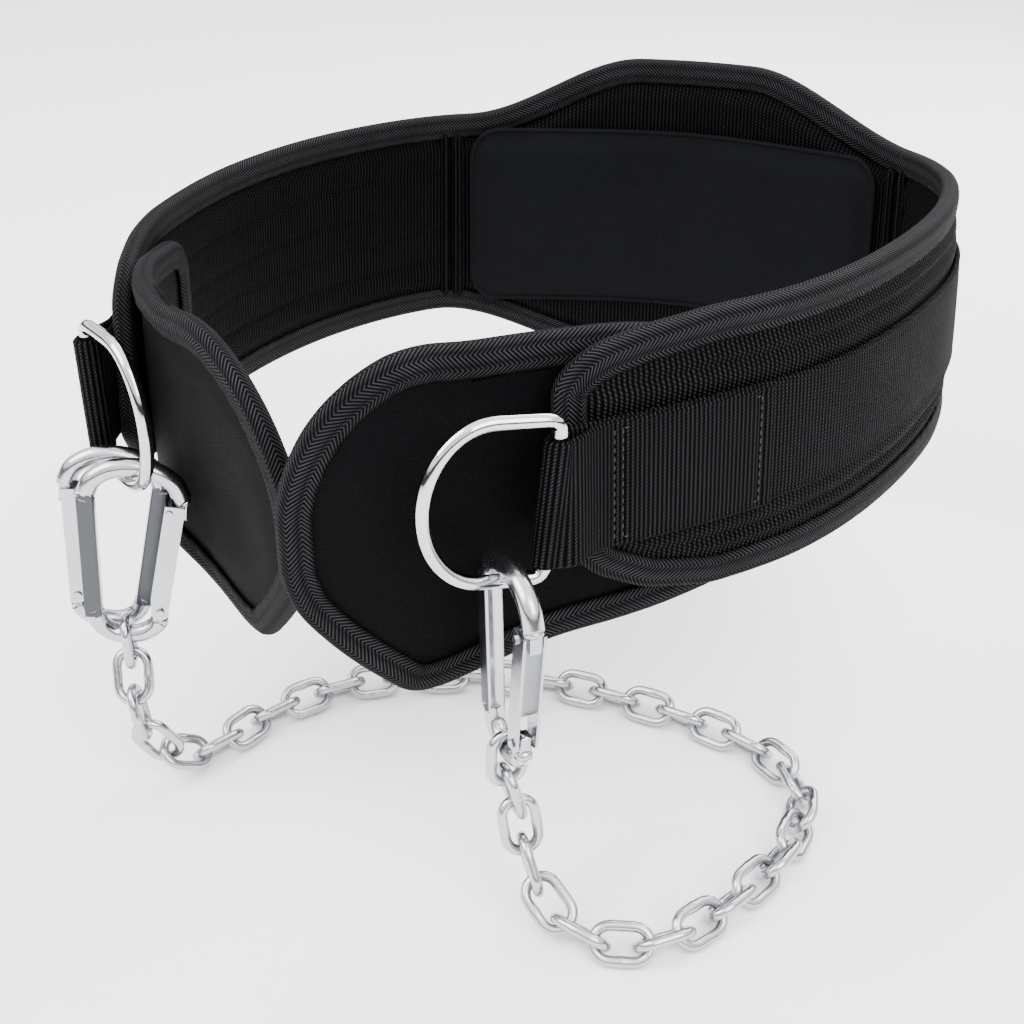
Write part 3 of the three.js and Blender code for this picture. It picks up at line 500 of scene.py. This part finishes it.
# %% Folded tape round an outline
def folded_tape(name, wall, ring, core):
    inner = core / 2 + SOFT_GAP * 0.5
    outer = inner + TAPE_THICK
    hem = [(TAPE_SHOWN, outer - 0.6), (TAPE_SHOWN - 0.8, outer), (8.5, outer + 0.4),
           (5.5, outer + 0.7), (2.6, outer + 0.5), (0.9, outer - 0.2), (-0.2, outer - 1.5)]
    section = [(d, -o) for d, o in hem] + [(-0.6, 0)] + hem[::-1]
    section += [(TAPE_SHOWN, inner), (1.4, inner), (1.4, -inner), (TAPE_SHOWN, -inner)]
    section = np.array(section, float)
    closed = np.vstack([section, section[:1]])
    run = np.concatenate([[0], np.cumsum(np.linalg.norm(np.diff(closed, axis=0), axis=1))])
    inward = inwards(ring)
    steps = np.linalg.norm(np.roll(ring, -1, 0) - ring, axis=1)
    length = np.concatenate([[0], np.cumsum(steps)])
    looped, facing = np.vstack([ring, ring[:1]]), np.vstack([inward, inward[:1]])

    def place(u, v):
        at, w = u * length[-1], v * run[-1]
        spot = np.stack([np.interp(at, length, looped[:, k]) for k in (0, 1)], -1)
        way = np.stack([np.interp(at, length, facing[:, k]) for k in (0, 1)], -1)
        depth, out = (np.interp(w, run, closed[:, k]) for k in (0, 1))
        pucker = 0.18 * np.sin(at / 1.7 + np.sin(at / 11)) * (depth > 9)
        spot = spot + way * depth[:, None]
        points = wall.point(spot[:, 0], spot[:, 1], out + np.sign(out) * pucker)
        return points, np.stack([at, w], -1) * MM

    piece = make(name, len(ring), 34, place)
    piece.data.materials.append(tape)
    return piece


band_tape = folded_tape("band_tape", band_wall, band_ring, BAND_RIM)
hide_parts("band_binding")

# %% [markdown]
# ## Lumbar pad
# A smooth panel with rounded corners is sewn inside the band behind the lower back, in a piped
# seam. It is crowned in the middle and sinks to the seam all round. A bevelled block would have an
# even rim, so the same panel function is used, with a crown that depends on the distance to the
# edge and with slow dents in the foam. The piping is a tube along the pad's outline.

# %% Lumbar pad and its piping
PAD_FACE = -BAND_CORE / 2 - LUMBAR_EXTRA - 2 * SOFT_GAP
PAD_BEGIN = LUMBAR_MIDDLE - PAD_WIDTH / 2
PAD_CORNER, PIPING_RADIUS = 16, 1.3


def pad_half(s):
    from_end = np.minimum(s - PAD_BEGIN, PAD_BEGIN + PAD_WIDTH - s)
    round_off = np.sqrt(np.clip(1 - (1 - np.clip(from_end / PAD_CORNER, 0, 1)) ** 2, 0, 1))
    return PAD_HEIGHT / 2 - PAD_CORNER * (1 - round_off)


def pad_crown(s, z, edge):
    dents = 0.35 * np.sin(s / 31.0 + 1.3 * np.sin(z / 27.0)) * np.sin(z / 19.0)
    return PAD_FACE - PAD_THICK * (0.35 + 0.6 * smooth(0, 13, edge)) - dents * smooth(4, 18, edge)


pad = panel("back_pad", band_wall, PAD_BEGIN, PAD_BEGIN + PAD_WIDTH, pad_half,
            lambda s: -pad_half(s), lambda s, z, edge: PAD_FACE + 0 * s, pad_crown, 130, 40)
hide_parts("lumbar_pad")
pad.data.materials.append(pad_cloth)


def piped_edge(name, wall, ring, out, radius, material):
    inward = inwards(ring)
    looped, facing = np.vstack([ring, ring[:1]]), np.vstack([inward, inward[:1]])
    steps = np.linalg.norm(np.diff(looped, axis=0), axis=1)
    length = np.concatenate([[0], np.cumsum(steps)])

    def place(u, v):
        at, turn = u * length[-1], v * 2 * math.pi
        spot = np.stack([np.interp(at, length, looped[:, k]) for k in (0, 1)], -1)
        way = np.stack([np.interp(at, length, facing[:, k]) for k in (0, 1)], -1)
        spot = spot + way * (radius * np.cos(turn))[:, None]
        points = wall.point(spot[:, 0], spot[:, 1], out + radius * np.sin(turn))
        return points, np.stack([at, turn * radius], -1) * MM

    piece = make(name, len(ring), 10, place)
    piece.data.materials.append(material)
    return piece


pad_stations = np.linspace(PAD_BEGIN, PAD_BEGIN + PAD_WIDTH, 240)
pad_ring = loop_of(np.concatenate([
    np.stack([pad_stations, pad_half(pad_stations)], -1),
    np.stack([pad_stations, -pad_half(pad_stations)], -1)[::-1],
]))
piping = piped_edge("pad_piping", band_wall, pad_ring, PAD_FACE - 1.2, PIPING_RADIUS, pad_cloth)

# %% [markdown]
# The band's own cover is joined beside the pad in an upright seam, where the cloth is turned in
# and makes a firm roll from edge to edge. A ridge in the band's own grid would need columns far
# closer than elsewhere, so each roll is a slim tube of its own that follows the wall.

# %% Upright rolls at the ends of the lumbar section
SEAM_GAP = 7.4


def seam_roll(name, s, reach, out, radius):
    def place(u, v):
        high, low = band_edge(s, "top") - 9, band_edge(s, "bottom") + 9
        z, turn = low + (high - low) * u, v * 2 * math.pi
        fat = radius * np.sqrt(smooth(0, 0.03, u) * smooth(0, 0.03, 1 - u) + 0.02)
        points = band_wall.point(s + reach * fat / radius * np.cos(turn), z,
                                 out - fat * np.sin(turn))
        return points, np.stack([turn * radius, z], -1) * MM
    piece = make(name, 60, 16, place)
    piece.data.materials.append(lining)
    return piece


for side, sign in (("right", -1), ("left", 1)):
    at = LUMBAR_MIDDLE + sign * (LUMBAR_WIDTH / 2 + 1)
    seam_roll("seam_roll_" + side, at, reach=3.4, out=-BAND_CORE / 2 - 1.2, radius=2.6)
    seam_roll("seam_hem_" + side, at + sign * SEAM_GAP, reach=2.6, out=-BAND_CORE / 2 - 0.2,
              radius=1.6)

# %% [markdown]
# ## Front flaps
# Each flap is a sheet of neoprene with a jersey face. It starts inside the band, runs on in front
# of it and ends in a broad rounded leaf. Its own plan bends away from the band, and its foot flares.
# A flat sheet with a curve modifier would need the curve as a second object, so each flap gets a
# wall of its own, and the panel and tape functions of the band are used on it.

# %% Walls and outlines of the flaps
FLAP_OUTLINE = {
    "along": (0, 0.03, 0.1, 0.2, 0.3, 0.4, 0.5, 0.6, 0.68, 0.74, 0.79, 0.84, 0.89, 0.94, 0.98, 1),
    "rise": (0.25, 0.62, 0.75, 0.78, 0.82, 0.88, 0.91, 0.94, 0.97, 1.0, 0.99, 0.93, 0.82, 0.63,
             0.36, 0.1),
    "drop": (0.2, 0.52, 0.68, 0.77, 0.81, 0.83, 0.86, 0.92, 0.97, 1.0, 0.99, 0.88, 0.74, 0.58,
             0.42, 0.24),
}
# Middle line of each flap ahead of the band's end: ahead and inwards, as shares of its length
FLAP_FRONT = (
    ((0.04, 0.06), (0.168, 0.062), (0.336, 0.062), (0.449, 0.088)),
    ((0, 0.062), (0.1, 0.128), (0.236, 0.225), (0.347, 0.312), (0.43, 0.382)),
)
# Lean in degrees, drop in mm, and the share of its length that the flap lacks at the rear
FLAP_HANG = ((0, 3, 0), (-6, 8, 0.14))
FLAP_SAME, FLAP_EASE = 0.4, 40
FLAP_OFFSET = BAND_CORE / 2 + 3 * SOFT_GAP + TAPE_THICK + FLAP_CORE / 2


def flap_wall(side):
    end, towards = (0, 1) if side == RIGHT else (LENGTH, -1)
    rear = [end + towards * share * FLAP_OVERLAP for share in (1, 0.8, 0.6, 0.4, 0.2)]
    points = [band_wall.point(s, 0, -FLAP_OFFSET)[:2] for s in rear]
    spot, way, outward = band_wall.frame(end)
    for ahead, inside in FLAP_FRONT[side]:
        points.append(spot - way * towards * ahead * FLAP_LENGTH - outward * inside * FLAP_LENGTH)
    wall = Wall(points[::-1] if side == RIGHT else points)
    flare, sag, _ = FLAP_HANG[side]

    def front(s):
        inside = wall.length - s if side == RIGHT else s
        return smooth(FLAP_OVERLAP - FLAP_EASE, FLAP_OVERLAP + FLAP_EASE, inside)

    wall.flare = lambda s: WALL_FLARE + (flare - WALL_FLARE) * front(s)
    wall.sag = lambda s: sag * front(s)
    return wall


def flap(side, name):
    wall = flap_wall(side)
    share = through(np.stack([FLAP_OUTLINE[k] for k in ("along", "rise", "drop")], -1), 24)
    rear = FLAP_HANG[side][2]
    ahead = np.maximum(share[:, 0], rear + share[:, 0] * (FLAP_SAME - rear) / FLAP_SAME)
    s = (1 - ahead) * FLAP_LENGTH
    s = s if side == RIGHT else wall.length - s
    begin, end = s.min(), s.max()
    corners = np.concatenate([np.stack([s, share[:, 1] * FLAP_RISE], -1),
                              np.stack([s, -share[:, 2] * FLAP_DROP], -1)[::-1]])
    ring = loop_of(corners)
    order = np.argsort(s)
    half = FLAP_CORE / 2

    def rise(at):
        return np.interp(at, s[order], share[order, 1] * FLAP_RISE) - LEAF_TUCK

    def drop(at):
        return np.interp(at, s[order], -share[order, 2] * FLAP_DROP) + LEAF_TUCK

    def face(at, z, edge):
        wrinkle = 0.35 * np.sin(at / 17.0 + z / 26.0) + 0.2 * np.sin(z / 13.0 - at / 31.0)
        return half + (0.7 + wrinkle) * smooth(10, 24, edge)

    leaf = panel(name, wall, begin + LEAF_TUCK, end - LEAF_TUCK, rise, drop,
                 face, lambda at, z, edge: -face(at, z, edge), 150, 46)
    leaf.data.materials.append(neoprene)
    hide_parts(name.replace("leaf", "flap"))
    hem = folded_tape(name + "_tape", wall, ring, FLAP_CORE + 2 * SOFT_GAP)
    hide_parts(name.replace("leaf", "flap") + "_binding")


flap(RIGHT, "leaf_right")
flap(LEFT, "leaf_left")

# %% [markdown]
# ## D-rings
# Each ring is a bent and welded steel wire with a straight bar at the back. The bar is held by the
# strap; the ring swings about it. A ring's frame has the bar upright and the bow along its X. A
# bevelled curve would make the wire too, but the clips need a section that changes along the way,
# so one function lays a round grid along a path, for the rings, the clips and the links.

# %% Frames of the rings
STRAP_BASE = BAND_CORE / 2 + SOFT_GAP + WEBBING_THICK / 2
STRAP_TOP = STRAP_BASE + WEBBING_THICK + GAP
LOOP_RADIUS = RING_WIRE / 2 + GAP + WEBBING_THICK / 2
LOOP_MIDDLE = STRAP_BASE + LOOP_RADIUS + 3 * GAP
RING_AHEAD = LOOP_RADIUS + WEBBING_THICK / 2 + TAPE_THICK
# Swing and lift of each ring in degrees, and its rise in mm
RING_POSE = (("right", 6, 6, 0.8), ("left", 38, 0, 0))
UP = Vector((0, 0, 1))


def ring_frame(side):
    name, swing, lift, rise = RING_POSE[side]
    end, towards = (0, 1) if side == RIGHT else (LENGTH, -1)
    spot, way, outward = band_wall.frame(end)
    origin = Vector(band_wall.point(end - towards * RING_AHEAD, 0, LOOP_MIDDLE)) + UP * rise
    way, outward = Vector((*way, 0)), Vector((*outward, 0))
    swing = math.radians(swing)
    reach = way * (-towards * math.cos(swing)) - outward * math.sin(swing)
    across = UP.cross(reach).normalized()
    turn = Matrix((reach, across, UP)).transposed().to_4x4()
    return Matrix.Translation(origin) @ turn @ Matrix.Rotation(math.radians(-lift), 4, "Y")


ring_frames = [ring_frame(RIGHT), ring_frame(LEFT)]

# %% A round wire along a closed or open path
def wire(name, path, radius, material, closed=True, sides=18, shape=None):
    """path is a row of points in mm; shape(i, turn) may change the section."""
    path = np.array(path, float)
    if closed:
        way = np.roll(path, -1, 0) - np.roll(path, 1, 0)
    else:
        way = np.gradient(path, axis=0)
    way /= np.linalg.norm(way, axis=1, keepdims=True)
    centre = path - path.mean(0)
    normal = np.linalg.svd(centre)[2][2]
    out = np.cross(way, normal)
    out /= np.linalg.norm(out, axis=1, keepdims=True)
    count = len(path)

    def place(u, v):
        i = np.rint(u * (count if closed else count - 1)).astype(int)
        near = i % count
        turn = v * 2 * math.pi
        a, b = shape(near, turn) if shape else (np.cos(turn), np.sin(turn))
        points = path[near] + out[near] * (radius * a)[:, None] + normal * (radius * b)[:, None]
        return points, np.stack([i * 1.0, turn * radius], -1) * MM

    piece = make(name, count if closed else count - 1, sides, place)
    piece.data.materials.append(material)
    return piece


def arc(cx, cy, rx, ry, start, stop, count):
    turns = np.radians(np.linspace(start, stop, count))
    return np.stack([cx + rx * np.cos(turns), cy + ry * np.sin(turns)], -1)


def ring_path():
    half = RING_BAR / 2
    bend = RING_CORNER
    lines = [np.stack([np.zeros(16), np.linspace(-half + bend, half - bend, 16)], -1),
             arc(bend, half - bend, bend, bend, 180, 90, 7),
             arc(RING_LEG, 0, RING_REACH - RING_LEG, half, 90, -90, 44),
             arc(bend, -half + bend, bend, bend, -90, -180, 7)]
    flat = np.concatenate(lines)
    return loop_of(flat, 2.2, 1)


for side, (name, *_) in enumerate(RING_POSE):
    spots = [ring_frames[side] @ Vector((x, 0, y)) for x, y in ring_path()]
    ring = wire("ring_" + name, spots, RING_WIRE / 2, chrome, sides=20)
    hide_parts("d_ring_" + name)

# %% [markdown]
# ## Load strap
# One length of webbing is sewn round the outside of the band. At each end it goes round the bar of
# a ring, comes back over itself and is sewn down. The grid follows that whole path, so the weave
# turns round the bar as the real one does. Rows of stitching pull the webbing in.

# %% Path of the strap
GRID = LENGTH / 44
LOOP_BEGIN, STITCH_ROWS, STITCH_LEVEL, STITCH_END = 20, (19.5, 23, 83), 21.5, 22


def strap_end():
    rows = [(STRAP_RETURN, STRAP_TOP)]
    rows += [(s, STRAP_TOP) for s in np.arange(STRAP_RETURN - GRID, LOOP_BEGIN, -GRID)]
    rows += [(14, STRAP_TOP + GAP), (1, LOOP_MIDDLE + LOOP_RADIUS * 0.9)]
    for angle in range(75, 286, 30):
        turn = math.radians(angle)
        rows.append((-RING_AHEAD + LOOP_RADIUS * math.cos(turn),
                     LOOP_MIDDLE + LOOP_RADIUS * math.sin(turn)))
    return rows + [(6, STRAP_BASE + GAP)]


first = strap_end()
last = [(LENGTH - s, out) for s, out in strap_end()][::-1]
middle = [(s, STRAP_BASE) for s in np.arange(0, LENGTH, GRID) if 16 < s < LENGTH - 16]
strap_line = through(np.array(first + middle + last), 14)
bars = [ring_turn.to_3x3() @ UP for ring_turn in ring_frames]
bars = np.array([bar / bar.z for bar in bars])


def strap_point(s, z, out):
    side = (s > LENGTH / 2).astype(int)
    from_end = np.where(side == RIGHT, s, LENGTH - s)
    base = band_wall.point(s, 0, out)
    lean = band_wall.point(s, 1, out) - base
    share = (1 - smooth(-6, 0, from_end))[:, None]
    lean = lean + (bars[side] - lean) * share
    return base + lean * z[:, None]


half_web = WEBBING_WIDTH / 2
web_face = np.array([(half_web, 0), (half_web - 0.3, 0.9), (half_web - 1.4, 1.25),
                     (half_web - 3, 1.15), (0, 1.2), (-half_web + 3, 1.15),
                     (-half_web + 1.4, 1.25), (-half_web + 0.3, 0.9), (-half_web, 0)])
web_section = np.concatenate([web_face, (web_face * (1, -1))[::-1][1:]])
web_run = np.concatenate([[0], np.cumsum(np.abs(np.diff(web_section[:, 0])) + 0.2)])


def strap_place(u, v):
    run = np.concatenate([[0], np.cumsum(np.linalg.norm(np.diff(strap_line, axis=0), axis=1))])
    at = u * run[-1]
    s, out = (np.interp(at, run, strap_line[:, k]) for k in (0, 1))
    way = np.gradient(strap_line, run, axis=0)
    ds, do = (np.interp(at, run, way[:, k]) for k in (0, 1))
    z, thick = (np.interp(v * web_run[-1], web_run, web_section[:, k]) for k in (0, 1))
    from_end = np.minimum(s, LENGTH - s)
    on_top = out > STRAP_TOP - 0.5
    pull = sum(np.exp(-(((from_end - spot) / 1.6) ** 2)) for spot in STITCH_ROWS)
    edge = np.exp(-(((np.abs(z) - STITCH_LEVEL) / 1.0) ** 2)) * (from_end > STITCH_ROWS[0])
    outside = ds * thick > 0.2
    thick = thick - np.sign(thick) * outside * (0.95 * pull * on_top + 0.35 * edge)
    sway = 0.25 * np.sin(at / 19.0 + z / 23.0) * (from_end > 95)
    points = strap_point(s - do * thick, z, out + ds * thick + np.maximum(sway, -0.1))
    return points, np.stack([at, z], -1) * MM


strap = make("strap", 900, 60, strap_place)
strap.data.materials.append(webbing)
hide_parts("load_strap")

# %% [markdown]
# Stitches are short capsules of thread, each sunk a little into the webbing, in the lines that
# hold the folded ends. A bump would show them too, but not catch the light at their sides. One
# small capsule of few faces is repeated along every line and joined into one piece.

# %% Lines of stitching
def stitches(name, lines, level, pitch=3.2, length=2.3, radius=0.32):
    bm = bmesh.new()
    for begin, end in lines:
        begin, end = np.array(begin, float), np.array(end, float)
        count = max(2, int(np.linalg.norm(end - begin) / pitch))
        for k in range(count):
            spot = begin + (end - begin) * (k + 0.5) / count
            way = (end - begin) / np.linalg.norm(end - begin) * length / 2
            ends = np.array([spot - way, spot + way])
            a, b = (Vector(p) * MM for p in band_wall.point(ends[:, 0], ends[:, 1], level))
            span = b - a
            turn = span.to_track_quat("Z", "Y").to_matrix().to_4x4()
            place = Matrix.Translation((a + b) / 2) @ turn
            shape = Matrix.Diagonal((radius * MM, radius * MM, span.length / 2, 1))
            bmesh.ops.create_uvsphere(bm, u_segments=6, v_segments=4, radius=1,
                                      matrix=place @ shape)
    piece = keep(name, bm)
    piece.data.materials.append(thread_finish)
    return piece


thread_paint = Paint("sewing thread")
thread_finish = thread_paint.set(
    Base_Color=thread_paint.mix(thread_paint.noise(thread_paint.place(), 900.0),
                                (0.002, 0.002, 0.0022), (0.009, 0.0092, 0.0102)),
    Roughness=0.6)
lines = []
for end, towards in ((0, 1), (LENGTH, -1)):
    for spot in STITCH_ROWS:
        lines.append(((end + towards * spot, STITCH_END), (end + towards * spot, -STITCH_END)))
    for level in (STITCH_LEVEL, -STITCH_LEVEL):
        lines.append(((end + towards * STITCH_ROWS[1], level),
                      (end + towards * STITCH_ROWS[2], level)))
stitches("strap_stitches", lines, STRAP_TOP + WEBBING_THICK / 2 - 0.6)

# %% [markdown]
# ## Carabiners
# Each clip is a bent rod, flattened into a ridged bar along its spine and into a tongue inside its
# gate. One path holds its middle line, with two more columns that say how far the section has
# turned from round into bar or tongue. The gates and their rivets stay as they are in the solid
# model: they are folded sheet with crisp edges, so they get a small bevel and the metal.

# %% Path and frames of the clips
CLIP_PATH = [
    (1.05, 0.46, 0, 1), (1.05, 0.63, 0, 1), (1.03, 0.69, 0, 0), (0.9, 0.83, 0, 0),
    (0.62, 0.94, 0, 0), (0.25, 1, 0, 0), (-0.2, 1, 0, 0), (-0.6, 0.94, 0, 0),
    (-0.88, 0.82, 0, 0), (-0.99, 0.67, 0, 0), (-0.98, 0.62, 1, 0), (-0.75, -0.68, 1, 0),
    (-0.72, -0.73, 0, 0), (-0.61, -0.87, 0, 0), (-0.34, -0.98, 0, 0), (0, -1.0, 0, 0),
    (0.36, -0.97, 0, 0), (0.61, -0.88, 0, 0), (0.69, -0.82, 0, 0), (0.7, -0.77, 0, 1),
    (0.73, -0.58, 0, 1),
]
BAR = [(1, 0), (0.86, 0.86), (0, 0.9), (-0.86, 0.86), (-1, 0), (-0.86, -0.86), (0, -0.9),
       (0.86, -0.86)]
TONGUE = [(0.62, 0), (0.6, 0.55), (0, 0.55), (-0.6, 0.55), (-0.62, 0), (-0.6, -0.55), (0, -0.55),
          (0.6, -0.55)]
# Name, ring, place along the ring's bow, side of the gate, turn and lean in degrees, seat
CLIPS = (
    ("right", RIGHT, 16, 1, 4, -2, -8),
    ("left_front", LEFT, 27, -1, -29, -9, 0),
    ("left_back", LEFT, 12, 1, -29, 9, -1),
)
FRAME_HALF = CARABINER_LENGTH / 2 - CARABINER_ROD / 2
TOP_HALF = CARABINER_TOP / 2
SEAT_DIP = 9


def clip_frame(side, along, gate, turn, lean, seat):
    ring = ring_frames[side]
    x = max(0, along - RING_LEG) / (RING_REACH - RING_LEG)
    level = -RING_BAR / 2 * math.sqrt(max(0, 1 - x * x))
    spot = ring @ Vector((along, 0, level))
    out = ring.to_3x3() @ Vector((0, 1, 0))
    out = Vector((out.x, out.y, 0)).normalized() * (1 if side == RIGHT else -1) * gate
    way = Matrix.Rotation(math.radians(turn), 3, "Z") @ out
    basis = Matrix((way, UP, way.cross(UP))).transposed().to_4x4()
    rest = (RING_WIRE + CARABINER_ROD) / 2 + 2 * GAP + SEAT_DIP * (seat / TOP_HALF) ** 2
    return (Matrix.Translation(spot) @ basis @ Matrix.Rotation(math.radians(lean), 4, "Z")
            @ Matrix.Translation((-seat, rest - FRAME_HALF, 0)))


def corners(table, turn):
    ring = np.array(table + table[:1], float)
    at = np.linspace(0, 2 * math.pi, len(ring))
    return np.interp(turn, at, ring[:, 0]), np.interp(turn, at, ring[:, 1])


dense = through(CLIP_PATH, 7)
dense[:, 2:] = np.clip(dense[:, 2:], 0, 1)


def clip_section(near, turn):
    bar, tongue = dense[near, 2], dense[near, 3]
    plain = 1 - bar - tongue
    (ba, bb), (ta, tb) = corners(BAR, turn), corners(TONGUE, turn)
    return (np.cos(turn) * plain + ba * bar + ta * tongue,
            np.sin(turn) * plain + bb * bar + tb * tongue)


for name, side, *pose in CLIPS:
    place = clip_frame(side, *pose)
    spots = [place @ Vector((x * TOP_HALF, y * FRAME_HALF, 0)) for x, y in dense[:, :2]]
    clip = wire("clip_" + name, spots, CARABINER_ROD / 2, clip_metal,
                closed=False, sides=24, shape=clip_section)
    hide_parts("carabiner_" + name)
    clip.data.materials.append(milled)
    depth = (place.to_3x3() @ Vector((0, 0, 1))).normalized()
    on_bar = [spot for spot, bar in zip(spots, dense[:, 2]) if bar > 0.6]
    top, foot = on_bar[0], on_bar[-1]
    for face in clip.data.polygons:
        spot = face.center / MM - top
        share = spot.dot(foot - top) / (foot - top).length_squared
        off = (spot - (foot - top) * share).length
        if 0 < share < 1 and off < CARABINER_ROD and abs(face.normal.dot(depth)) > 0.8:
            face.material_index = 1
    for node in ("gate_" + name, "gate_pin_" + name):
        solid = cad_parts[node]
        merged = solid.modifiers.new("weld", "WELD")
        merged.merge_threshold = 1e-6
        edge = solid.modifiers.new("edges", "BEVEL")
        edge.width, edge.segments, edge.limit_method = 0.25 * MM, 2, "ANGLE"
        edge.angle_limit = math.radians(35)
        for slot in solid.material_slots:
            slot.material = clip_metal

# %% [markdown]
# ## Chain
# A welded steel chain. Each link of the solid model is a coarse ring; its long and short axes are
# found from its corners, and a round link is laid in their place, with the small swelling that the
# weld leaves in one of its sides. Rounding the coarse ring with a subdivision would shrink it and
# let the links part, while a link laid on the axes keeps its pitch.

# %% Round links
def link_path():
    bend = CHAIN_INNER_WIDTH / 2 + CHAIN_WIRE / 2
    half = CHAIN_PITCH / 2 + CHAIN_WIRE / 2 - bend
    ends = [arc(half, 0, bend, bend, -90, 90, 13), arc(-half, 0, bend, bend, 90, 270, 13)]
    side = np.linspace(half, -half, 7)[1:-1]
    top = np.stack([side, np.full(5, bend)], -1)
    return np.concatenate([ends[0], top, ends[1], (top * (-1, -1))])


# A round link stays this little inside the coarse one
LINK_SHARE, WIRE_EASE = 0.985, 0.08
LINK = link_path() * LINK_SHARE


def weld_bead(near, turn):
    swell = 1 + 0.1 * np.exp(-(((near - 15) / 1.2) ** 2))
    return np.cos(turn) * swell, np.sin(turn) * swell


def lay_link(node):
    coarse = np.array([v.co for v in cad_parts[node].data.vertices]) / MM
    coarse = np.unique(np.round(coarse, 3), axis=0)
    centre = coarse.mean(0)
    axes = np.linalg.svd(coarse - centre)[2]
    spots = centre + LINK[:, :1] * axes[0] + LINK[:, 1:] * axes[1]
    link = wire(node.replace("chain_", ""), spots, CHAIN_WIRE / 2 - WIRE_EASE, zinc,
                sides=12, shape=weld_bead)
    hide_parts(node)


for node in sorted(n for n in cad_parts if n.startswith("chain_link")):
    lay_link(node)

# %% [markdown]
# ## Studio
# The photograph is bright and almost without shadows: a pale floor, soft light from above and the
# left, and a light behind that draws the edges of the black cloth. An even white sky would leave
# polished metal without form, so the sky has a dark band near the horizon for it to mirror. The
# camera stands a little to the wearer's left, looking down at the front opening.

# %% Floor, light and camera
FLOOR_HALF, FLOOR_EASE, SKY_STRENGTH = 6, 0.0003, 3.6
CAMERA_SPOT, CAMERA_TILT, CAMERA_TURN, CAMERA_LENS = (0.2448, -0.5373, 0.2355), 61.1, 24.9, 49.2
floor_mesh = bpy.data.meshes.new("floor")
bm = bmesh.new()
bmesh.ops.create_grid(bm, x_segments=1, y_segments=1, size=FLOOR_HALF)
bmesh.ops.translate(bm, verts=bm.verts, vec=(0, 0, cad_box[0][2] - FLOOR_EASE))
bm.to_mesh(floor_mesh)
bm.free()
floor = bpy.data.objects.new("floor", floor_mesh)
bpy.context.scene.collection.objects.link(floor)
floor_paint = Paint("pale floor")
floor.data.materials.append(floor_paint.set(Base_Color=(0.93, 0.93, 0.93, 1), Roughness=0.9,
                                            Specular_IOR_Level=0.1))

world = bpy.data.worlds.new("studio")
bpy.context.scene.world = world
world.use_nodes = True
sky = world.node_tree
ramp = sky.nodes.new("ShaderNodeValToRGB")
ramp.color_ramp.elements[0].position = 0.0
ramp.color_ramp.elements[0].color = (0.02, 0.02, 0.022, 1)
ramp.color_ramp.elements[1].position = 0.8
ramp.color_ramp.elements[1].color = (1, 1, 1, 1)
for position, shade in ((0.16, 0.03), (0.3, 0.8), (0.5, 0.45)):
    stop = ramp.color_ramp.elements.new(position)
    stop.color = (shade, shade, shade * 1.02, 1)
where = sky.nodes.new("ShaderNodeTexCoord")
split = sky.nodes.new("ShaderNodeSeparateXYZ")
sky.links.new(where.outputs["Generated"], split.inputs[0])
sky.links.new(split.outputs[2], ramp.inputs[0])
sky.links.new(ramp.outputs[0], sky.nodes["Background"].inputs[0])
sky.nodes["Background"].inputs[1].default_value = SKY_STRENGTH


def softbox(name, spot, size, power, aim=(0, 0, -0.05)):
    lamp = bpy.data.lights.new(name, "AREA")
    lamp.size, lamp.energy = size, power
    light = bpy.data.objects.new(name, lamp)
    light.location = spot
    light.rotation_euler = (Vector(aim) - Vector(spot)).to_track_quat("-Z", "Y").to_euler()
    bpy.context.scene.collection.objects.link(light)


softbox("high_left", (-0.9, -0.9, 1.3), 1.2, 40)
softbox("high_right", (1.1, -0.7, 1.1), 1.1, 30)
softbox("behind", (0.2, 1.4, 1.0), 1.2, 30)

camera_data = bpy.data.cameras.new("camera")
camera_data.lens, camera_data.sensor_width = CAMERA_LENS, 36
camera = bpy.data.objects.new("camera", camera_data)
camera.location = CAMERA_SPOT
camera.rotation_euler = (math.radians(CAMERA_TILT), 0, math.radians(CAMERA_TURN))
bpy.context.scene.collection.objects.link(camera)
bpy.context.scene.camera = camera

# %% Box of the solid model
print("solid model", cad_box)
